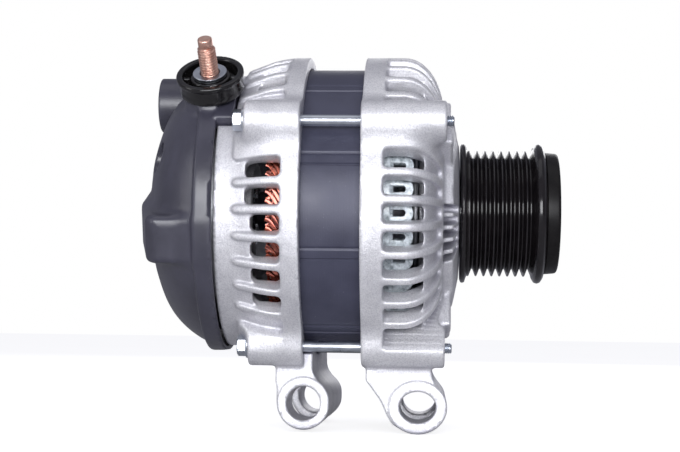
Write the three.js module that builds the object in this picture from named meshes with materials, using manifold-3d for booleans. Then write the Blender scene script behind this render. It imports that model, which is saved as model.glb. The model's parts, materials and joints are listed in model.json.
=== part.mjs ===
// Car alternator with an overrunning multi-rib pulley, as an assembly of separate pieces.
//
// Millimetres. +X runs along the shaft towards the pulley, +Z is up, and the mounting lugs hang
// below the body with their bores along Y. Angles in the YZ plane are in degrees from +Y towards +Z.
// Every piece is laid out from the middle of the stator core, on the shaft axis. The last line moves
// the whole object along X, so that its origin is the centre of the pulley cap's front face.

import * as THREE from 'three';
import { mergeVertices } from 'three/addons/utils/BufferGeometryUtils.js';
import Module from 'manifold-3d';

const wasm = await Module();
wasm.setup();

// ---------------------------------------------------------------- driving dimensions

const GAP = 0.3;
const SEGMENTS = { body: 32, pulley: 26, medium: 20, small: 12 };

const CORE = { outerRadius: 64, boreRadius: 54, halfLength: 18, slots: 24, slotWidth: 6.4, slotRadius: 60.4 };
const WINDING = { innerRadius: 54.9, outerRadius: 59.8, halfLength: 32, conductorWidth: 5.8 };
const SPLIT_X = 12.4;

const BODY_RADIUS = 69.5;
const BOLT = { circle: 69.2, angles: [151.5, 241.5, 331.5, 61.5], shankRadius: 2.4, holeRadius: 3 };
const BOSS = { radius: 8.5, rearEnd: -36, frontEnds: [48, 48, 48, 34] };
const BOLT_HEAD = { radius: 4.6, height: 4.7, tip: 3 };

const FRONT = {
  outer: [[SPLIT_X, BODY_RADIUS], [29.7, BODY_RADIUS], [38, 66.2], [47, 50.6], [51.5, 43], [54, 29]],
  inner: [[18.3, 62.5], [31, 62.2], [38.5, 57], [43, 44]],
  wallFace: 43, hubRadius: 32, hubFace: 36.4, nose: 54, shaftHoleRadius: 14,
};
const FRONT_VENTS = { count: 8, first: 4, sweep: 32, radii: [33.5, 40.5], from: 40, to: 56 };
const FRONT_WINDOWS = { first: 160.6, pitch: 9.65, count: 8, rib: 3.2, from: 22.1, to: 38.7 };

const REAR = {
  outer: [[-SPLIT_X, BODY_RADIUS], [-20, BODY_RADIUS], [-27, 68], [-42, 61.6], [-49, 61.2]],
  inner: [[-18.3, 62.5], [-30, 61.5], [-44, 53.4]],
  wallFace: -44, hubRadius: 21.5, hubFace: -37.5, back: -49, shaftHoleRadius: 9,
};
const REAR_VENTS = { count: 9, first: 36, sweep: 26, radii: [25, 47], from: -52, to: -42 };
const REAR_WINDOWS = { first: 162.6, pitch: 10.07, count: 7, rib: 3.8, from: -20.5, to: -34.7 };

// Quarter turns, from the near side, that carry windows. The lugs take the remaining one.
const WINDOW_SIDES = [-1, 0, 2];
const WINDOW_REACH = [46, 80];

const LUG_SPAN = { near: -34, nearEar: -6, farEar: 32, far: 58 };
const LUG = { root: -50, shoulder: -73, ceiling: -73.5, foot: -99, wall: 4.2, rootFar: 46 };
const REAR_LUG = {
  x: -12.3, z: -85.2, halfWidth: 11.3, halfHeight: 11.3, bore: [7.25, 7.25], arm: [-24.5, -8.5],
};
const FRONT_LUG = {
  x: 36.7, z: -86.2, halfWidth: 12.7, halfHeight: 11.5, bore: [7.8, 6.6], arm: [14.3, 42.7],
};

const FRONT_BEARING = {
  from: 36.6, to: 50.4, bore: 8.6, inner: 13, outer: 19.2, seat: 23.4, ball: 2.8, balls: 8,
};
const REAR_BEARING = {
  from: -48, to: -38, bore: 6.2, inner: 8.6, outer: 13.2, seat: 15.8, ball: 2.05, balls: 8,
};
const BEARING_FIT = 0.3;

const RETAINER = { from: 33.9, to: 36.1, inner: 14.5, outer: 31, screwCircle: 27.6, screws: 4 };
const RETAINER_SCREW = { headRadius: 3.2, head: [31.8, 33.7], shankRadius: 1.4, end: 45 };

const ROTOR = { radius: 53.2, face: 19.5, yoke: 9.5, tip: 15.5, claws: 8, boreRadius: 9.2, hubRadius: 12.6 };
const COIL = { inner: 15, outer: 39.6, halfLength: 8 };
const FAN = { plate: [19.8, 21.3], bladeEnd: 33, innerRadius: 10.2, outerRadius: 49, blades: 9 };
const SHAFT = [[-80, 4.6], [-49.5, 4.6], [-49.5, 5.9], [-36.5, 5.9], [-36.5, 8.9], [35.8, 8.9], [35.8, 8.3],
  [88, 8.3], [89, 7.3]];
const SLIP_RINGS = {
  starts: [-71, -78], width: 4, inner: 6.3, outer: 7.7, sleeve: [-79.6, -64.5], sleeveBore: 4.8,
};

const PULLEY = {
  from: 54.6, to: 92, bore: 20.2, grooves: 8, pitch: 3.56, firstGroove: 60.2, crest: 28.6, root: 25.5,
};
const FLANGE_RADIUS = 31.7;
const CAP = { radius: 27.4, end: 98.2, spigot: 24.6, wall: 2.4, edge: 1.8 };
const HUB = { from: 57, to: 86, bore: 8.6, radius: 12.8 };
const CLUTCH = { circle: 16.4, cage: [63, 81], rollers: 10, rollerRadius: 2.9, rollerSpan: [65, 79] };
const SPACER = { from: 50.8, to: 56.7, bore: 8.6, radius: 12 };

const COVER = {
  outer: [[-49.3, 63.5], [-57, 63.5], [-57.4, 60], [-64.5, 56.3], [-71, 49.5], [-76, 42.5], [-80.3, 32.2],
    [-83.8, 6]],
  inner: [[-49.3, 61.6], [-55.6, 61.6], [-55.6, 58.2], [-63.4, 54.2], [-73.6, 42.4], [-78.2, 31.4],
    [-81.6, 6]],
  ventRadii: [15, 31], vents: 6,
};
const STUDS = { circle: 40, angles: [30, 150, 270], radius: 2.4, foot: -44.5, end: -75.3, seat: -70.2 };
const NUT = { radius: 4.6, height: 3.6, recess: 6.4, padRadius: 8.4, padFoot: -68 };

// Rectifier: two horseshoe plates with the terminal block between them, and six diodes on the outer plate.
const RECTIFIER = {
  sweep: [113, 335], inner: 24, studGap: 3.4, negative: [-52.2, -49.4, 55], positive: [-60.4, -57.4, 47],
};
const TERMINAL_BLOCK = { sweep: [118, 330], inner: 27, outer: 44, from: -57.1, to: -54.9 };
const DIODE = {
  circle: 34, angles: [130, 170, 225, 246, 294, 316], radius: 5.6, span: [-66.4, -60.8], leadRadius: 0.9,
};
const REGULATOR = { sweep: [-20, 64], radii: [26, 53], span: [-60, -49.6], finEnd: -65, finRadii: [28, 50] };

const BRUSH_ANGLE = 197;
const BRUSH = { width: 5.4, length: 16, contactRadius: 7.9, thickness: 3.4 };
const HOLDER = { from: -79.6, to: -65.6, inner: 10, outer: 44, halfWidth: 6.4 };
const BUMP = {
  halfWidth: 10.4, wall: 2.2,
  outside: [[-55.8, 60.3], [-74.5, 60.3], [-78, 57.5], [-85.3, 28], [-85.3, 12], [-55.8, 12]],
  inside: [[-55, 58.1], [-74.6, 58.1], [-76.8, 56.4], [-83.1, 31.6], [-83.1, 6], [-55, 6]],
};

const TERMINAL = { x: -53.3, angle: 130.6, face: 73, lean: 3 };
const GUARD = { outerRadius: 14.6, rim: 2.8, collarRadius: 8.6, height: 8.4, bushRadius: 6.4, bushDepth: 20 };
const STUD = { radius: 3.9, top: 16.5, dogRadius: 3.1, dogLength: 4, foot: -27 };
const SOCKET = { y: 4, z: 49, radius: 12.5, bore: 10.4, from: -83, to: -50, floor: -66 };

// ---------------------------------------------------------------- finishes

const FINISH = {
  castAluminium: { color: 0xdcd9e2, roughness: 0.55, metalness: 0.75 },
  corePaint: { color: 0x43435c, roughness: 0.5, metalness: 0.3 },
  steel: { color: 0xb9bcc8, roughness: 0.35, metalness: 1 },
  darkSteel: { color: 0x6d6f78, roughness: 0.45, metalness: 1 },
  copper: { color: 0xc2765a, roughness: 0.35, metalness: 1 },
  enamel: { color: 0x8a3f2c, roughness: 0.4, metalness: 0.3 },
  coverPlastic: { color: 0x2a2a31, roughness: 0.5, metalness: 0 },
  glossPlastic: { color: 0x17171b, roughness: 0.25, metalness: 0 },
  tanPlastic: { color: 0x3a332c, roughness: 0.6, metalness: 0 },
  pulleyBlack: { color: 0x111114, roughness: 0.2, metalness: 0.6 },
  graphite: { color: 0x2f2d2e, roughness: 0.7, metalness: 0.2 },
};

// ---------------------------------------------------------------- geometry helpers

const AXIS_X = new THREE.Vector3(1, 0, 0);
const AXIS_Y = new THREE.Vector3(0, 1, 0);
const AXIS_Z = new THREE.Vector3(0, 0, 1);

const radians = THREE.MathUtils.degToRad;

// The [y, z] of a point at a radius and an angle in the YZ plane.
function polar(radius, degrees) {
  return [radius * Math.cos(radians(degrees)), radius * Math.sin(radians(degrees))];
}

function evenAngles(count, first = 0) {
  return Array.from({ length: count }, (_, i) => first + (i * 360) / count);
}

// A closed three.js geometry as a solid with its faces pointing out.
function solidFrom(geometry) {
  const bare = geometry.clone();
  bare.deleteAttribute('normal');
  bare.deleteAttribute('uv');
  const merged = mergeVertices(bare, 1e-4);
  const corners = merged.index.array;
  const triangles = [];
  for (let i = 0; i < corners.length; i += 3) {
    const [a, b, c] = corners.subarray(i, i + 3);
    if (a !== b && b !== c && c !== a) triangles.push([a, b, c]);
  }
  const positions = new Float32Array(merged.attributes.position.array);
  if (enclosedVolume(positions, triangles) < 0) triangles.forEach((triangle) => triangle.reverse());
  const triVerts = new Uint32Array(triangles.flat());
  const mesh = new wasm.Mesh({ numProp: 3, vertProperties: positions, triVerts });
  return new wasm.Manifold(mesh);
}

function enclosedVolume(positions, triangles) {
  const corner = (index) => new THREE.Vector3().fromArray(positions, 3 * index);
  return triangles.reduce((sum, [a, b, c]) => sum + corner(a).dot(corner(b).cross(corner(c))) / 6, 0);
}

function geometryFrom(solid) {
  const mesh = solid.getMesh();
  const geometry = new THREE.BufferGeometry();
  geometry.setAttribute('position', new THREE.BufferAttribute(mesh.vertProperties, 3));
  geometry.setIndex(new THREE.BufferAttribute(mesh.triVerts, 1));
  geometry.computeVertexNormals();
  return geometry;
}

function joined(...solids) {
  return solids.flat().reduce((whole, piece) => whole.add(piece));
}

// A profile of [x, radius] points turned about the X axis.
function turned(profile, segments = 24) {
  const points = profile.map(([x, radius]) => new THREE.Vector2(radius, x));
  points.push(points[0].clone());
  const lathe = new THREE.LatheGeometry(points, segments);
  lathe.applyMatrix4(new THREE.Matrix4().makeBasis(AXIS_Y, AXIS_X, AXIS_Z.clone().negate()));
  return solidFrom(lathe);
}

function tube(from, to, inner, outer, segments) {
  return turned([[from, inner], [to, inner], [to, outer], [from, outer]], segments);
}

function extruded(outline, depth, basis) {
  const shape = new THREE.Shape(outline.map(([u, v]) => new THREE.Vector2(u, v)));
  const geometry = new THREE.ExtrudeGeometry(shape, { depth, bevelEnabled: false });
  geometry.applyMatrix4(basis);
  return solidFrom(geometry);
}

// An outline of [y, z] points extruded along X.
function prismX(outline, from, to) {
  const basis = new THREE.Matrix4().makeBasis(AXIS_Y, AXIS_Z, AXIS_X);
  return extruded(outline, Math.abs(to - from), basis.setPosition(Math.min(from, to), 0, 0));
}

// An outline of [x, z] points extruded along Y.
function prismY(outline, from, to) {
  const basis = new THREE.Matrix4().makeBasis(AXIS_X, AXIS_Z, AXIS_Y.clone().negate());
  return extruded(outline, to - from, basis.setPosition(0, to, 0));
}

function ellipse(centre, halfWidth, halfHeight, segments) {
  return Array.from({ length: segments }, (_, i) => {
    const angle = ((i + 0.5) / segments) * 2 * Math.PI;
    return [centre[0] + halfWidth * Math.cos(angle), centre[1] + halfHeight * Math.sin(angle)];
  });
}

function rodX(centre, radius, from, to, segments = 16) {
  return prismX(ellipse(centre, radius, radius, segments), from, to);
}

// A ring sector in the YZ plane, extruded along X.
function sector(fromAngle, toAngle, innerRadius, outerRadius, from, to, steps = 1) {
  const arc = Array.from({ length: steps + 1 }, (_, i) => fromAngle + ((toAngle - fromAngle) * i) / steps);
  const outline = arc.map((angle) => polar(outerRadius, angle));
  const back = [...arc].reverse().map((angle) => polar(innerRadius, angle));
  return prismX([...outline, ...back], from, to);
}

function box(x, y, z) {
  const geometry = new THREE.BoxGeometry(x[1] - x[0], y[1] - y[0], z[1] - z[0]);
  geometry.translate((x[0] + x[1]) / 2, (y[0] + y[1]) / 2, (z[0] + z[1]) / 2);
  return solidFrom(geometry);
}

function part(name, solid, finish) {
  const mesh = new THREE.Mesh(geometryFrom(solid), new THREE.MeshStandardMaterial(finish));
  mesh.name = name;
  return mesh;
}

function assembly(...pieces) {
  const group = new THREE.Group();
  group.add(...pieces.flat());
  return group;
}

// ---------------------------------------------------------------- cast brackets

// Cooling windows in sets between the through bolts.
function windowCutter(windows) {
  const openings = [];
  for (const side of WINDOW_SIDES) {
    for (let i = 0; i < windows.count; i += 1) {
      const start = windows.first + side * 90 + i * windows.pitch + windows.rib / 2;
      const end = start + windows.pitch - windows.rib;
      openings.push(sector(start, end, ...WINDOW_REACH, windows.from, windows.to));
    }
  }
  return joined(openings);
}

// A lug block below the body: two ears on one bore, joined by a wall on the pulley side.
function lug(place) {
  const { root, shoulder, ceiling, foot, wall, rootFar } = LUG;
  const { near, nearEar, farEar, far } = LUG_SPAN;
  const [left, right] = place.arm;
  const outline = [[left, root], [left, shoulder], ...lowerHalf(place), [right, shoulder], [right, root]];
  const block = prismY(outline, near, far);
  const reach = prismX([[near, foot], [far, foot], [far, shoulder], [rootFar, root], [near, root]], -40, 60);
  const bore = prismY(ellipse([place.x, place.z], ...place.bore, 16), near - 1, far + 1);
  const pocket = box([place.x - 20, place.x + place.halfWidth - wall], [nearEar, farEar], [foot, ceiling]);
  return block.intersect(reach).subtract(joined(bore, pocket));
}

function lowerHalf(place) {
  const steps = 10;
  return Array.from({ length: steps + 1 }, (_, i) => {
    const angle = Math.PI + (i * Math.PI) / steps;
    return [place.x + place.halfWidth * Math.cos(angle), place.z + place.halfHeight * Math.sin(angle)];
  });
}

function boltHoles(from, to) {
  return joined(BOLT.angles.map((angle) => rodX(polar(BOLT.circle, angle), BOLT.holeRadius, from, to, 6)));
}

function rearBosses() {
  return BOLT.angles
    .map((angle) => rodX(polar(BOLT.circle, angle), BOSS.radius, BOSS.rearEnd, -SPLIT_X, 12));
}

// The far upper boss is short, because the shoulder of the bracket falls away under it.
function frontBosses() {
  return BOLT.angles
    .map((angle, i) => rodX(polar(BOLT.circle, angle), BOSS.radius, SPLIT_X, BOSS.frontEnds[i], 12));
}

// Room inside a bracket for the stator, the windings and the fan, back to the inner wall face.
function cavity(bracket) {
  const register = CORE.outerRadius + GAP;
  const registerEnd = Math.sign(bracket.wallFace) * (CORE.halfLength + GAP);
  return turned([[0, 0], [0, register], [registerEnd, register], ...bracket.inner, [bracket.wallFace, 0]],
    SEGMENTS.body);
}

// The boss that carries a bearing, standing in from the inner wall face.
function bearingHub(bracket) {
  return rodX([0, 0], bracket.hubRadius, bracket.hubFace, bracket.wallFace + Math.sign(bracket.wallFace),
    SEGMENTS.medium);
}

// The bearing seat and the smaller hole that the shaft passes through.
function bearingBore(bracket, bearing, shoulder, end) {
  const { hubFace, shaftHoleRadius } = bracket;
  const seat = bearing.seat + BEARING_FIT;
  const start = hubFace - Math.sign(end);
  return turned([[start, 0], [start, seat], [shoulder, seat], [shoulder, shaftHoleRadius],
    [end, shaftHoleRadius], [end, 0]], SEGMENTS.medium);
}

// Openings round the shaft in an end wall.
function ventCutters(vents) {
  return evenAngles(vents.count, vents.first)
    .map((angle) => sector(angle, angle + vents.sweep, ...vents.radii, vents.from, vents.to));
}

function frontBracket() {
  const shell = turned([...FRONT.outer, [FRONT.nose, 0], [SPLIT_X, 0]], SEGMENTS.body);
  const screwHoles = evenAngles(RETAINER.screws, 45)
    .map((angle) => rodX(polar(RETAINER.screwCircle, angle), 1.9, 36, RETAINER_SCREW.end + 1.5, 6));
  return shell
    .add(joined(frontBosses()))
    .subtract(windowCutter(FRONT_WINDOWS))
    .add(lug(FRONT_LUG))
    .subtract(cavity(FRONT))
    .add(bearingHub(FRONT))
    .subtract(bearingBore(FRONT, FRONT_BEARING, FRONT_BEARING.to + GAP, FRONT.nose + 1))
    .subtract(joined(boltHoles(0, BOSS.frontEnds[0] + 1), ventCutters(FRONT_VENTS), screwHoles));
}

function rearBracket() {
  const shell = turned([...REAR.outer, [REAR.back, 0], [-SPLIT_X, 0]], SEGMENTS.body);
  const studHoles = STUDS.angles
    .map((angle) => rodX(polar(STUDS.circle, angle), STUDS.radius + GAP, -50, -43, 8));
  const holes = [boltHoles(BOSS.rearEnd - 1, 0), ventCutters(REAR_VENTS), studHoles, terminalClearance()];
  return shell
    .add(joined(rearBosses()))
    .subtract(windowCutter(REAR_WINDOWS))
    .add(lug(REAR_LUG))
    .subtract(cavity(REAR))
    .add(bearingHub(REAR))
    .subtract(bearingBore(REAR, REAR_BEARING, REAR_BEARING.from - GAP, REAR.back - 1))
    .subtract(joined(holes.flat()));
}

// ---------------------------------------------------------------- stator

// Laminated ring whose slots open into the bore.
function statorCore() {
  const pitch = 360 / CORE.slots;
  const ring = tube(-CORE.halfLength, CORE.halfLength, CORE.boreRadius, CORE.outerRadius, 48);
  const slots = evenAngles(CORE.slots, pitch / 2).map((angle) => slotBar(angle, 50, CORE.slotRadius,
    CORE.slotWidth, CORE.halfLength + 1));
  return ring.subtract(joined(slots));
}

function slotBar(angle, innerRadius, outerRadius, width, halfLength) {
  const bar = box([-halfLength, halfLength], [innerRadius, outerRadius], [-width / 2, width / 2]);
  return bar.rotate([angle, 0, 0]);
}

// Two rings of end turns joined by the conductors that lie in the slots.
function statorWinding() {
  const { innerRadius, outerRadius, halfLength, conductorWidth } = WINDING;
  const start = CORE.halfLength + 0.4;
  const bars = evenAngles(CORE.slots, 180 / CORE.slots)
    .map((angle) => slotBar(angle, innerRadius + 0.3, outerRadius - 0.2, conductorWidth, start + 1));
  const ends = [[-halfLength, -start], [start, halfLength]]
    .map(([from, to]) => tube(from, to, innerRadius, outerRadius, CORE.slots));
  return joined(ends, bars);
}

// ---------------------------------------------------------------- fasteners

function hexRod(radius, from, to) {
  return rodX([0, 0], radius, from, to, 6);
}

function throughBolt(bossEnd) {
  const shank = rodX([0, 0], BOLT.shankRadius, BOSS.rearEnd - 1, bossEnd + BOLT_HEAD.tip, 6);
  const seat = BOSS.rearEnd - GAP;
  return hexRod(BOLT_HEAD.radius, seat - BOLT_HEAD.height, seat).add(shank);
}

function retainerScrew() {
  const { headRadius, head, shankRadius, end } = RETAINER_SCREW;
  return rodX([0, 0], headRadius, ...head, 6).add(rodX([0, 0], shankRadius, head[1] - 1, end, 6));
}

function coverNut() {
  const seat = STUDS.seat - 0.4;
  return hexRod(NUT.radius, seat - NUT.height, seat).subtract(rodX([0, 0], STUDS.radius + GAP, -90, -60, 8));
}

function coverStud() {
  return rodX([0, 0], STUDS.radius, STUDS.end, STUDS.foot, 8);
}

function placedAt(mesh, radius, angle) {
  const [y, z] = polar(radius, angle);
  mesh.position.set(0, y, z);
  return mesh;
}

// ---------------------------------------------------------------- bearings

function outerRace({ from, to, outer, seat }) {
  return tube(from, to, outer, seat, SEGMENTS.medium);
}

function innerRace({ from, to, bore, inner }) {
  return tube(from, to, bore, inner, SEGMENTS.medium);
}

// The balls of one bearing with the cage that spaces them.
function ballSet(bearing) {
  const middle = (bearing.from + bearing.to) / 2;
  const pitchRadius = (bearing.inner + bearing.outer) / 2;
  const cage = tube(middle - 1, middle + 1, pitchRadius - 0.7, pitchRadius + 0.7, bearing.balls);
  const balls = evenAngles(bearing.balls).map((angle) => {
    const ball = new THREE.IcosahedronGeometry(bearing.ball);
    ball.translate(middle, ...polar(pitchRadius, angle));
    return solidFrom(ball);
  });
  return joined(cage, balls);
}

function retainerPlate() {
  const plate = tube(RETAINER.from, RETAINER.to, RETAINER.inner, RETAINER.outer, SEGMENTS.medium);
  const holes = evenAngles(RETAINER.screws, 45)
    .map((angle) => rodX(polar(RETAINER.screwCircle, angle), 2, 30, 40, 6));
  return plate.subtract(joined(holes));
}

// ---------------------------------------------------------------- rotor

function rotorShaft() {
  return turned([[SHAFT[0][0], 0], ...SHAFT, [SHAFT.at(-1)[0], 0]], 16);
}

// One half of the claw-pole rotor, for the pulley side. Its fingers reach over the field coil.
function poleClaw(firstAngle) {
  const { radius, face, yoke, tip, claws, boreRadius, hubRadius } = ROTOR;
  const envelope = turned([[face, boreRadius], [face, radius - 1.5], [face - 2, radius], [-tip, radius],
    [-tip, radius - 5], [yoke, 41.2], [yoke, hubRadius], [0.15, hubRadius], [0.15, boreRadius]], 2 * claws);
  const yokeDisc = rodX([0, 0], 34, -1, face + 1, SEGMENTS.medium);
  const fingers = evenAngles(claws, firstAngle).map((angle) => {
    const plan = [[face + 1, -9.4], [face + 1, 9.4], [yoke, 8.8], [-tip - 1, 4], [-tip - 1, -4],
      [yoke, -8.8]];
    const basis = new THREE.Matrix4().makeBasis(AXIS_X, AXIS_Y, AXIS_Z).setPosition(0, 0, 28);
    return extruded(plan, 30, basis).rotate([angle, 0, 0]);
  });
  return envelope.intersect(joined(yokeDisc, fingers));
}

function fieldCoil() {
  return tube(-COIL.halfLength, COIL.halfLength, COIL.inner, COIL.outer, SEGMENTS.medium);
}

function coilBobbin() {
  const flange = COIL.halfLength + 1.2;
  const side = COIL.halfLength + 0.2;
  const rim = COIL.outer + 0.5;
  return turned([[-flange, 12.9], [flange, 12.9], [flange, rim], [side, rim], [side, COIL.inner - 0.3],
    [-side, COIL.inner - 0.3], [-side, rim], [-flange, rim]], SEGMENTS.medium);
}

// Centrifugal fan for the pulley side, with curved-back blades on a disc.
function fan(sweep) {
  const disc = tube(...FAN.plate, FAN.innerRadius, FAN.outerRadius, 18);
  const blades = evenAngles(FAN.blades).map((angle) => {
    const blade = box([FAN.plate[1] - 0.5, FAN.bladeEnd], [0, 17], [-0.8, 0.8]);
    return blade.rotate([sweep, 0, 0]).translate([0, 34, 0]).rotate([angle, 0, 0]);
  });
  return joined(disc, blades);
}

function slipRing(start) {
  return tube(start, start + SLIP_RINGS.width, SLIP_RINGS.inner, SLIP_RINGS.outer, 20);
}

function slipRingSleeve() {
  return tube(...SLIP_RINGS.sleeve, SLIP_RINGS.sleeveBore, SLIP_RINGS.inner - 0.2, 16);
}

function spacerCollar() {
  return tube(SPACER.from, SPACER.to, SPACER.bore, SPACER.radius, SEGMENTS.medium);
}

// The same solid facing the other way along the shaft.
function reversed(solid) {
  return solid.rotate([0, 180, 0]);
}

// ---------------------------------------------------------------- pulley

function pulleyRing() {
  const { from, to, bore, grooves, pitch, firstGroove, crest, root } = PULLEY;
  const profile = [[from, bore], [from, 30.4], [from + 0.8, FLANGE_RADIUS], [from + 2, FLANGE_RADIUS],
    [from + 3, 29], [firstGroove - pitch / 2, crest]];
  for (let i = 0; i < grooves; i += 1) {
    const middle = firstGroove + i * pitch;
    profile.push([middle, root], [middle + pitch / 2, crest]);
  }
  profile.push([87.6, 30.6], [88.8, FLANGE_RADIUS], [90, FLANGE_RADIUS], [to, 29.6], [to, 25], [87, 25],
    [87, bore]);
  return turned(profile, SEGMENTS.pulley);
}

// Press-fit dust cap with a rounded front edge.
function pulleyCap() {
  const { radius, end, spigot, wall, edge } = CAP;
  const seat = PULLEY.to + 0.2;
  const foot = PULLEY.to - 3;
  return turned([[foot, spigot], [seat, spigot], [seat, radius], [end - edge, radius], [end, radius - edge],
    [end, 0], [end - wall, 0], [end - wall, spigot - wall], [foot, spigot - wall]], SEGMENTS.pulley);
}

function pulleyHub() {
  return tube(HUB.from, HUB.to, HUB.bore, HUB.radius, SEGMENTS.medium);
}

// The overrunning clutch's rollers with their cage, between the hub and the pulley ring.
function rollerCage() {
  const { circle, cage, rollers, rollerRadius, rollerSpan } = CLUTCH;
  const ring = tube(...cage, circle - 1, circle + 1, rollers);
  const rods = evenAngles(rollers, 180 / rollers)
    .map((angle) => rodX(polar(circle, angle), rollerRadius, ...rollerSpan, 6));
  return joined(ring, rods);
}

// ---------------------------------------------------------------- rear cover and electrics

function radialBox(angle, x, radii, halfWidth) {
  return box(x, radii, [-halfWidth, halfWidth]).rotate([angle, 0, 0]);
}

// An [x, radius] outline with a width across, at an angle round the shaft.
function radialPrism(angle, outline, halfWidth) {
  const basis = new THREE.Matrix4().makeBasis(AXIS_X, AXIS_Y, AXIS_Z).setPosition(0, 0, -halfWidth);
  return extruded(outline, 2 * halfWidth, basis).rotate([angle, 0, 0]);
}

// Moulded cover over the rectifier, with a bump over the brush holder and recesses for the nuts.
function rearCover() {
  const outside = turned([...COVER.outer, [-83.8, 0], [-49.3, 0]], SEGMENTS.body);
  const inside = turned([[-49.2, 0], [-49.2, 61.6], ...COVER.inner.slice(1), [-81.6, 0]], SEGMENTS.body);
  const bump = radialPrism(BRUSH_ANGLE, BUMP.outside, BUMP.halfWidth);
  const bumpRoom = radialPrism(BRUSH_ANGLE, BUMP.inside, BUMP.halfWidth - BUMP.wall);
  const vents = evenAngles(COVER.vents, 3)
    .filter((angle) => Math.abs(angle + 18 - BRUSH_ANGLE) > 40)
    .map((angle) => sector(angle, angle + 36, ...COVER.ventRadii, -90, -76));
  const atStuds = (radius, to, segments) => joined(STUDS.angles
    .map((angle) => rodX(polar(STUDS.circle, angle), radius, -90, to, segments)));
  const pads = atStuds(NUT.padRadius, NUT.padFoot, 10).intersect(outside);
  const recesses = atStuds(NUT.recess, STUDS.seat, 10);
  const studHoles = atStuds(STUDS.radius + 2 * GAP, -60, 6);
  const socketHole = rodX([SOCKET.y, SOCKET.z], SOCKET.radius + GAP, -90, -49, 16);
  return outside
    .add(bump)
    .subtract(joined(inside, bumpRoom))
    .add(pads)
    .subtract(joined(recesses, studHoles, vents, socketHole, terminalClearance()));
}

function negativePlate() {
  const gap = radialBox(TERMINAL.angle, [-53, -49], [42, 60], 8.5);
  return horseshoe(RECTIFIER.sweep, RECTIFIER.inner, ...RECTIFIER.negative).subtract(gap);
}

// The plate that the terminal stud is screwed to, through a raised block on its rim.
function positivePlate() {
  const block = radialBox(TERMINAL.angle, [-60.4, -50], [44.6, 50], 7);
  return horseshoe(RECTIFIER.sweep, RECTIFIER.inner, ...RECTIFIER.positive)
    .add(block)
    .subtract(onTerminal(rodX([0, 0], STUD.radius + 0.4, -40, 0, SEGMENTS.small)));
}

function terminalBlock() {
  const { sweep, inner, outer, from, to } = TERMINAL_BLOCK;
  return horseshoe(sweep, inner, from, to, outer);
}

// An open ring plate with clearance round the cover studs.
function horseshoe(sweep, inner, from, to, outer) {
  const plate = sector(...sweep, inner, outer, from, to, 14);
  const holes = STUDS.angles
    .map((angle) => rodX(polar(STUDS.circle, angle), RECTIFIER.studGap, from - 1, to + 1, 8));
  return plate.subtract(joined(holes));
}

function diode() {
  const { radius, span, leadRadius } = DIODE;
  const lead = rodX([0, 0], leadRadius, span[0] - 2.2, span[0] + 0.4, 6);
  return rodX([0, 0], radius, ...span, SEGMENTS.small).add(lead);
}

function voltageRegulator() {
  const { sweep, radii, span, finEnd, finRadii } = REGULATOR;
  const body = sector(...sweep, ...radii, ...span, 6);
  const fins = evenAngles(24)
    .filter((angle) => angle < sweep[1] || angle > 345)
    .map((angle) => sector(angle - 2, angle + 2, ...finRadii, finEnd, span[0] + 0.5));
  const hole = rodX(polar(STUDS.circle, STUDS.angles[0]), RECTIFIER.studGap, -70, -40, 8);
  return joined(body, fins).subtract(hole);
}

// Round plug socket with four blades standing on its floor.
function plugSocket() {
  const { y, z, radius, bore, from, to, floor } = SOCKET;
  const shell = rodX([y, z], radius, from, to, 20).subtract(rodX([y, z], bore, from - 1, floor, 20));
  const pins = [-4.5, -1.5, 1.5, 4.5]
    .map((offset) => box([floor - 9, floor + 1], [y - 1.2, y + 1.2], [z + offset - 0.4, z + offset + 0.4]));
  return joined(shell, pins);
}

// Open box that guides both brushes towards the slip rings.
function brushHolder() {
  const { from, to, inner, outer, halfWidth } = HOLDER;
  const body = radialBox(BRUSH_ANGLE, [from, to], [inner, outer], halfWidth);
  const slack = 0.25;
  const guides = SLIP_RINGS.starts.map((start) => {
    const from = start + (SLIP_RINGS.width - BRUSH.width) / 2;
    return radialBox(BRUSH_ANGLE, [from - slack, from + BRUSH.width + slack], [inner - 1, outer - 2],
      BRUSH.thickness + slack);
  });
  return body.subtract(joined(guides));
}

function brush(start) {
  const middle = start + SLIP_RINGS.width / 2;
  return radialBox(BRUSH_ANGLE, [middle - BRUSH.width / 2, middle + BRUSH.width / 2],
    [BRUSH.contactRadius, BRUSH.contactRadius + BRUSH.length], BRUSH.thickness);
}

class Helix extends THREE.Curve {
  constructor(radius, height, turns) {
    super();
    Object.assign(this, { radius, height, turns });
  }

  getPoint(t) {
    const angle = t * this.turns * 2 * Math.PI;
    return new THREE.Vector3(this.radius * Math.cos(angle), this.height * t, this.radius * Math.sin(angle));
  }
}

function brushSpring(start) {
  const foot = BRUSH.contactRadius + BRUSH.length + 0.8;
  const height = HOLDER.outer - 2 - foot - 0.8;
  const wire = new THREE.Shape(ellipse([0, 0], 0.4, 0.4, 3).map(([u, v]) => new THREE.Vector2(u, v)));
  const coil = new THREE.ExtrudeGeometry(wire, { steps: 34, extrudePath: new Helix(1.9, height, 5.5) });
  coil.translate(start + SLIP_RINGS.width / 2, foot, 0);
  return solidFrom(coil).rotate([BRUSH_ANGLE, 0, 0]);
}

// ---------------------------------------------------------------- battery terminal

// Moves a solid turned about X so that its origin is the guard's face and its +X points out of it.
function onTerminal(solid) {
  const [y, z] = polar(TERMINAL.face, TERMINAL.angle);
  return solid
    .rotate([0, 0, 90 + TERMINAL.lean])
    .rotate([TERMINAL.angle, 0, 0])
    .translate([TERMINAL.x, y, z]);
}

// The hole that the terminal's bush passes through, in the cover and in the edge of the rear bracket.
function terminalClearance() {
  return onTerminal(rodX([0, 0], GUARD.bushRadius + 0.6, -32, 0, SEGMENTS.small));
}

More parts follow.
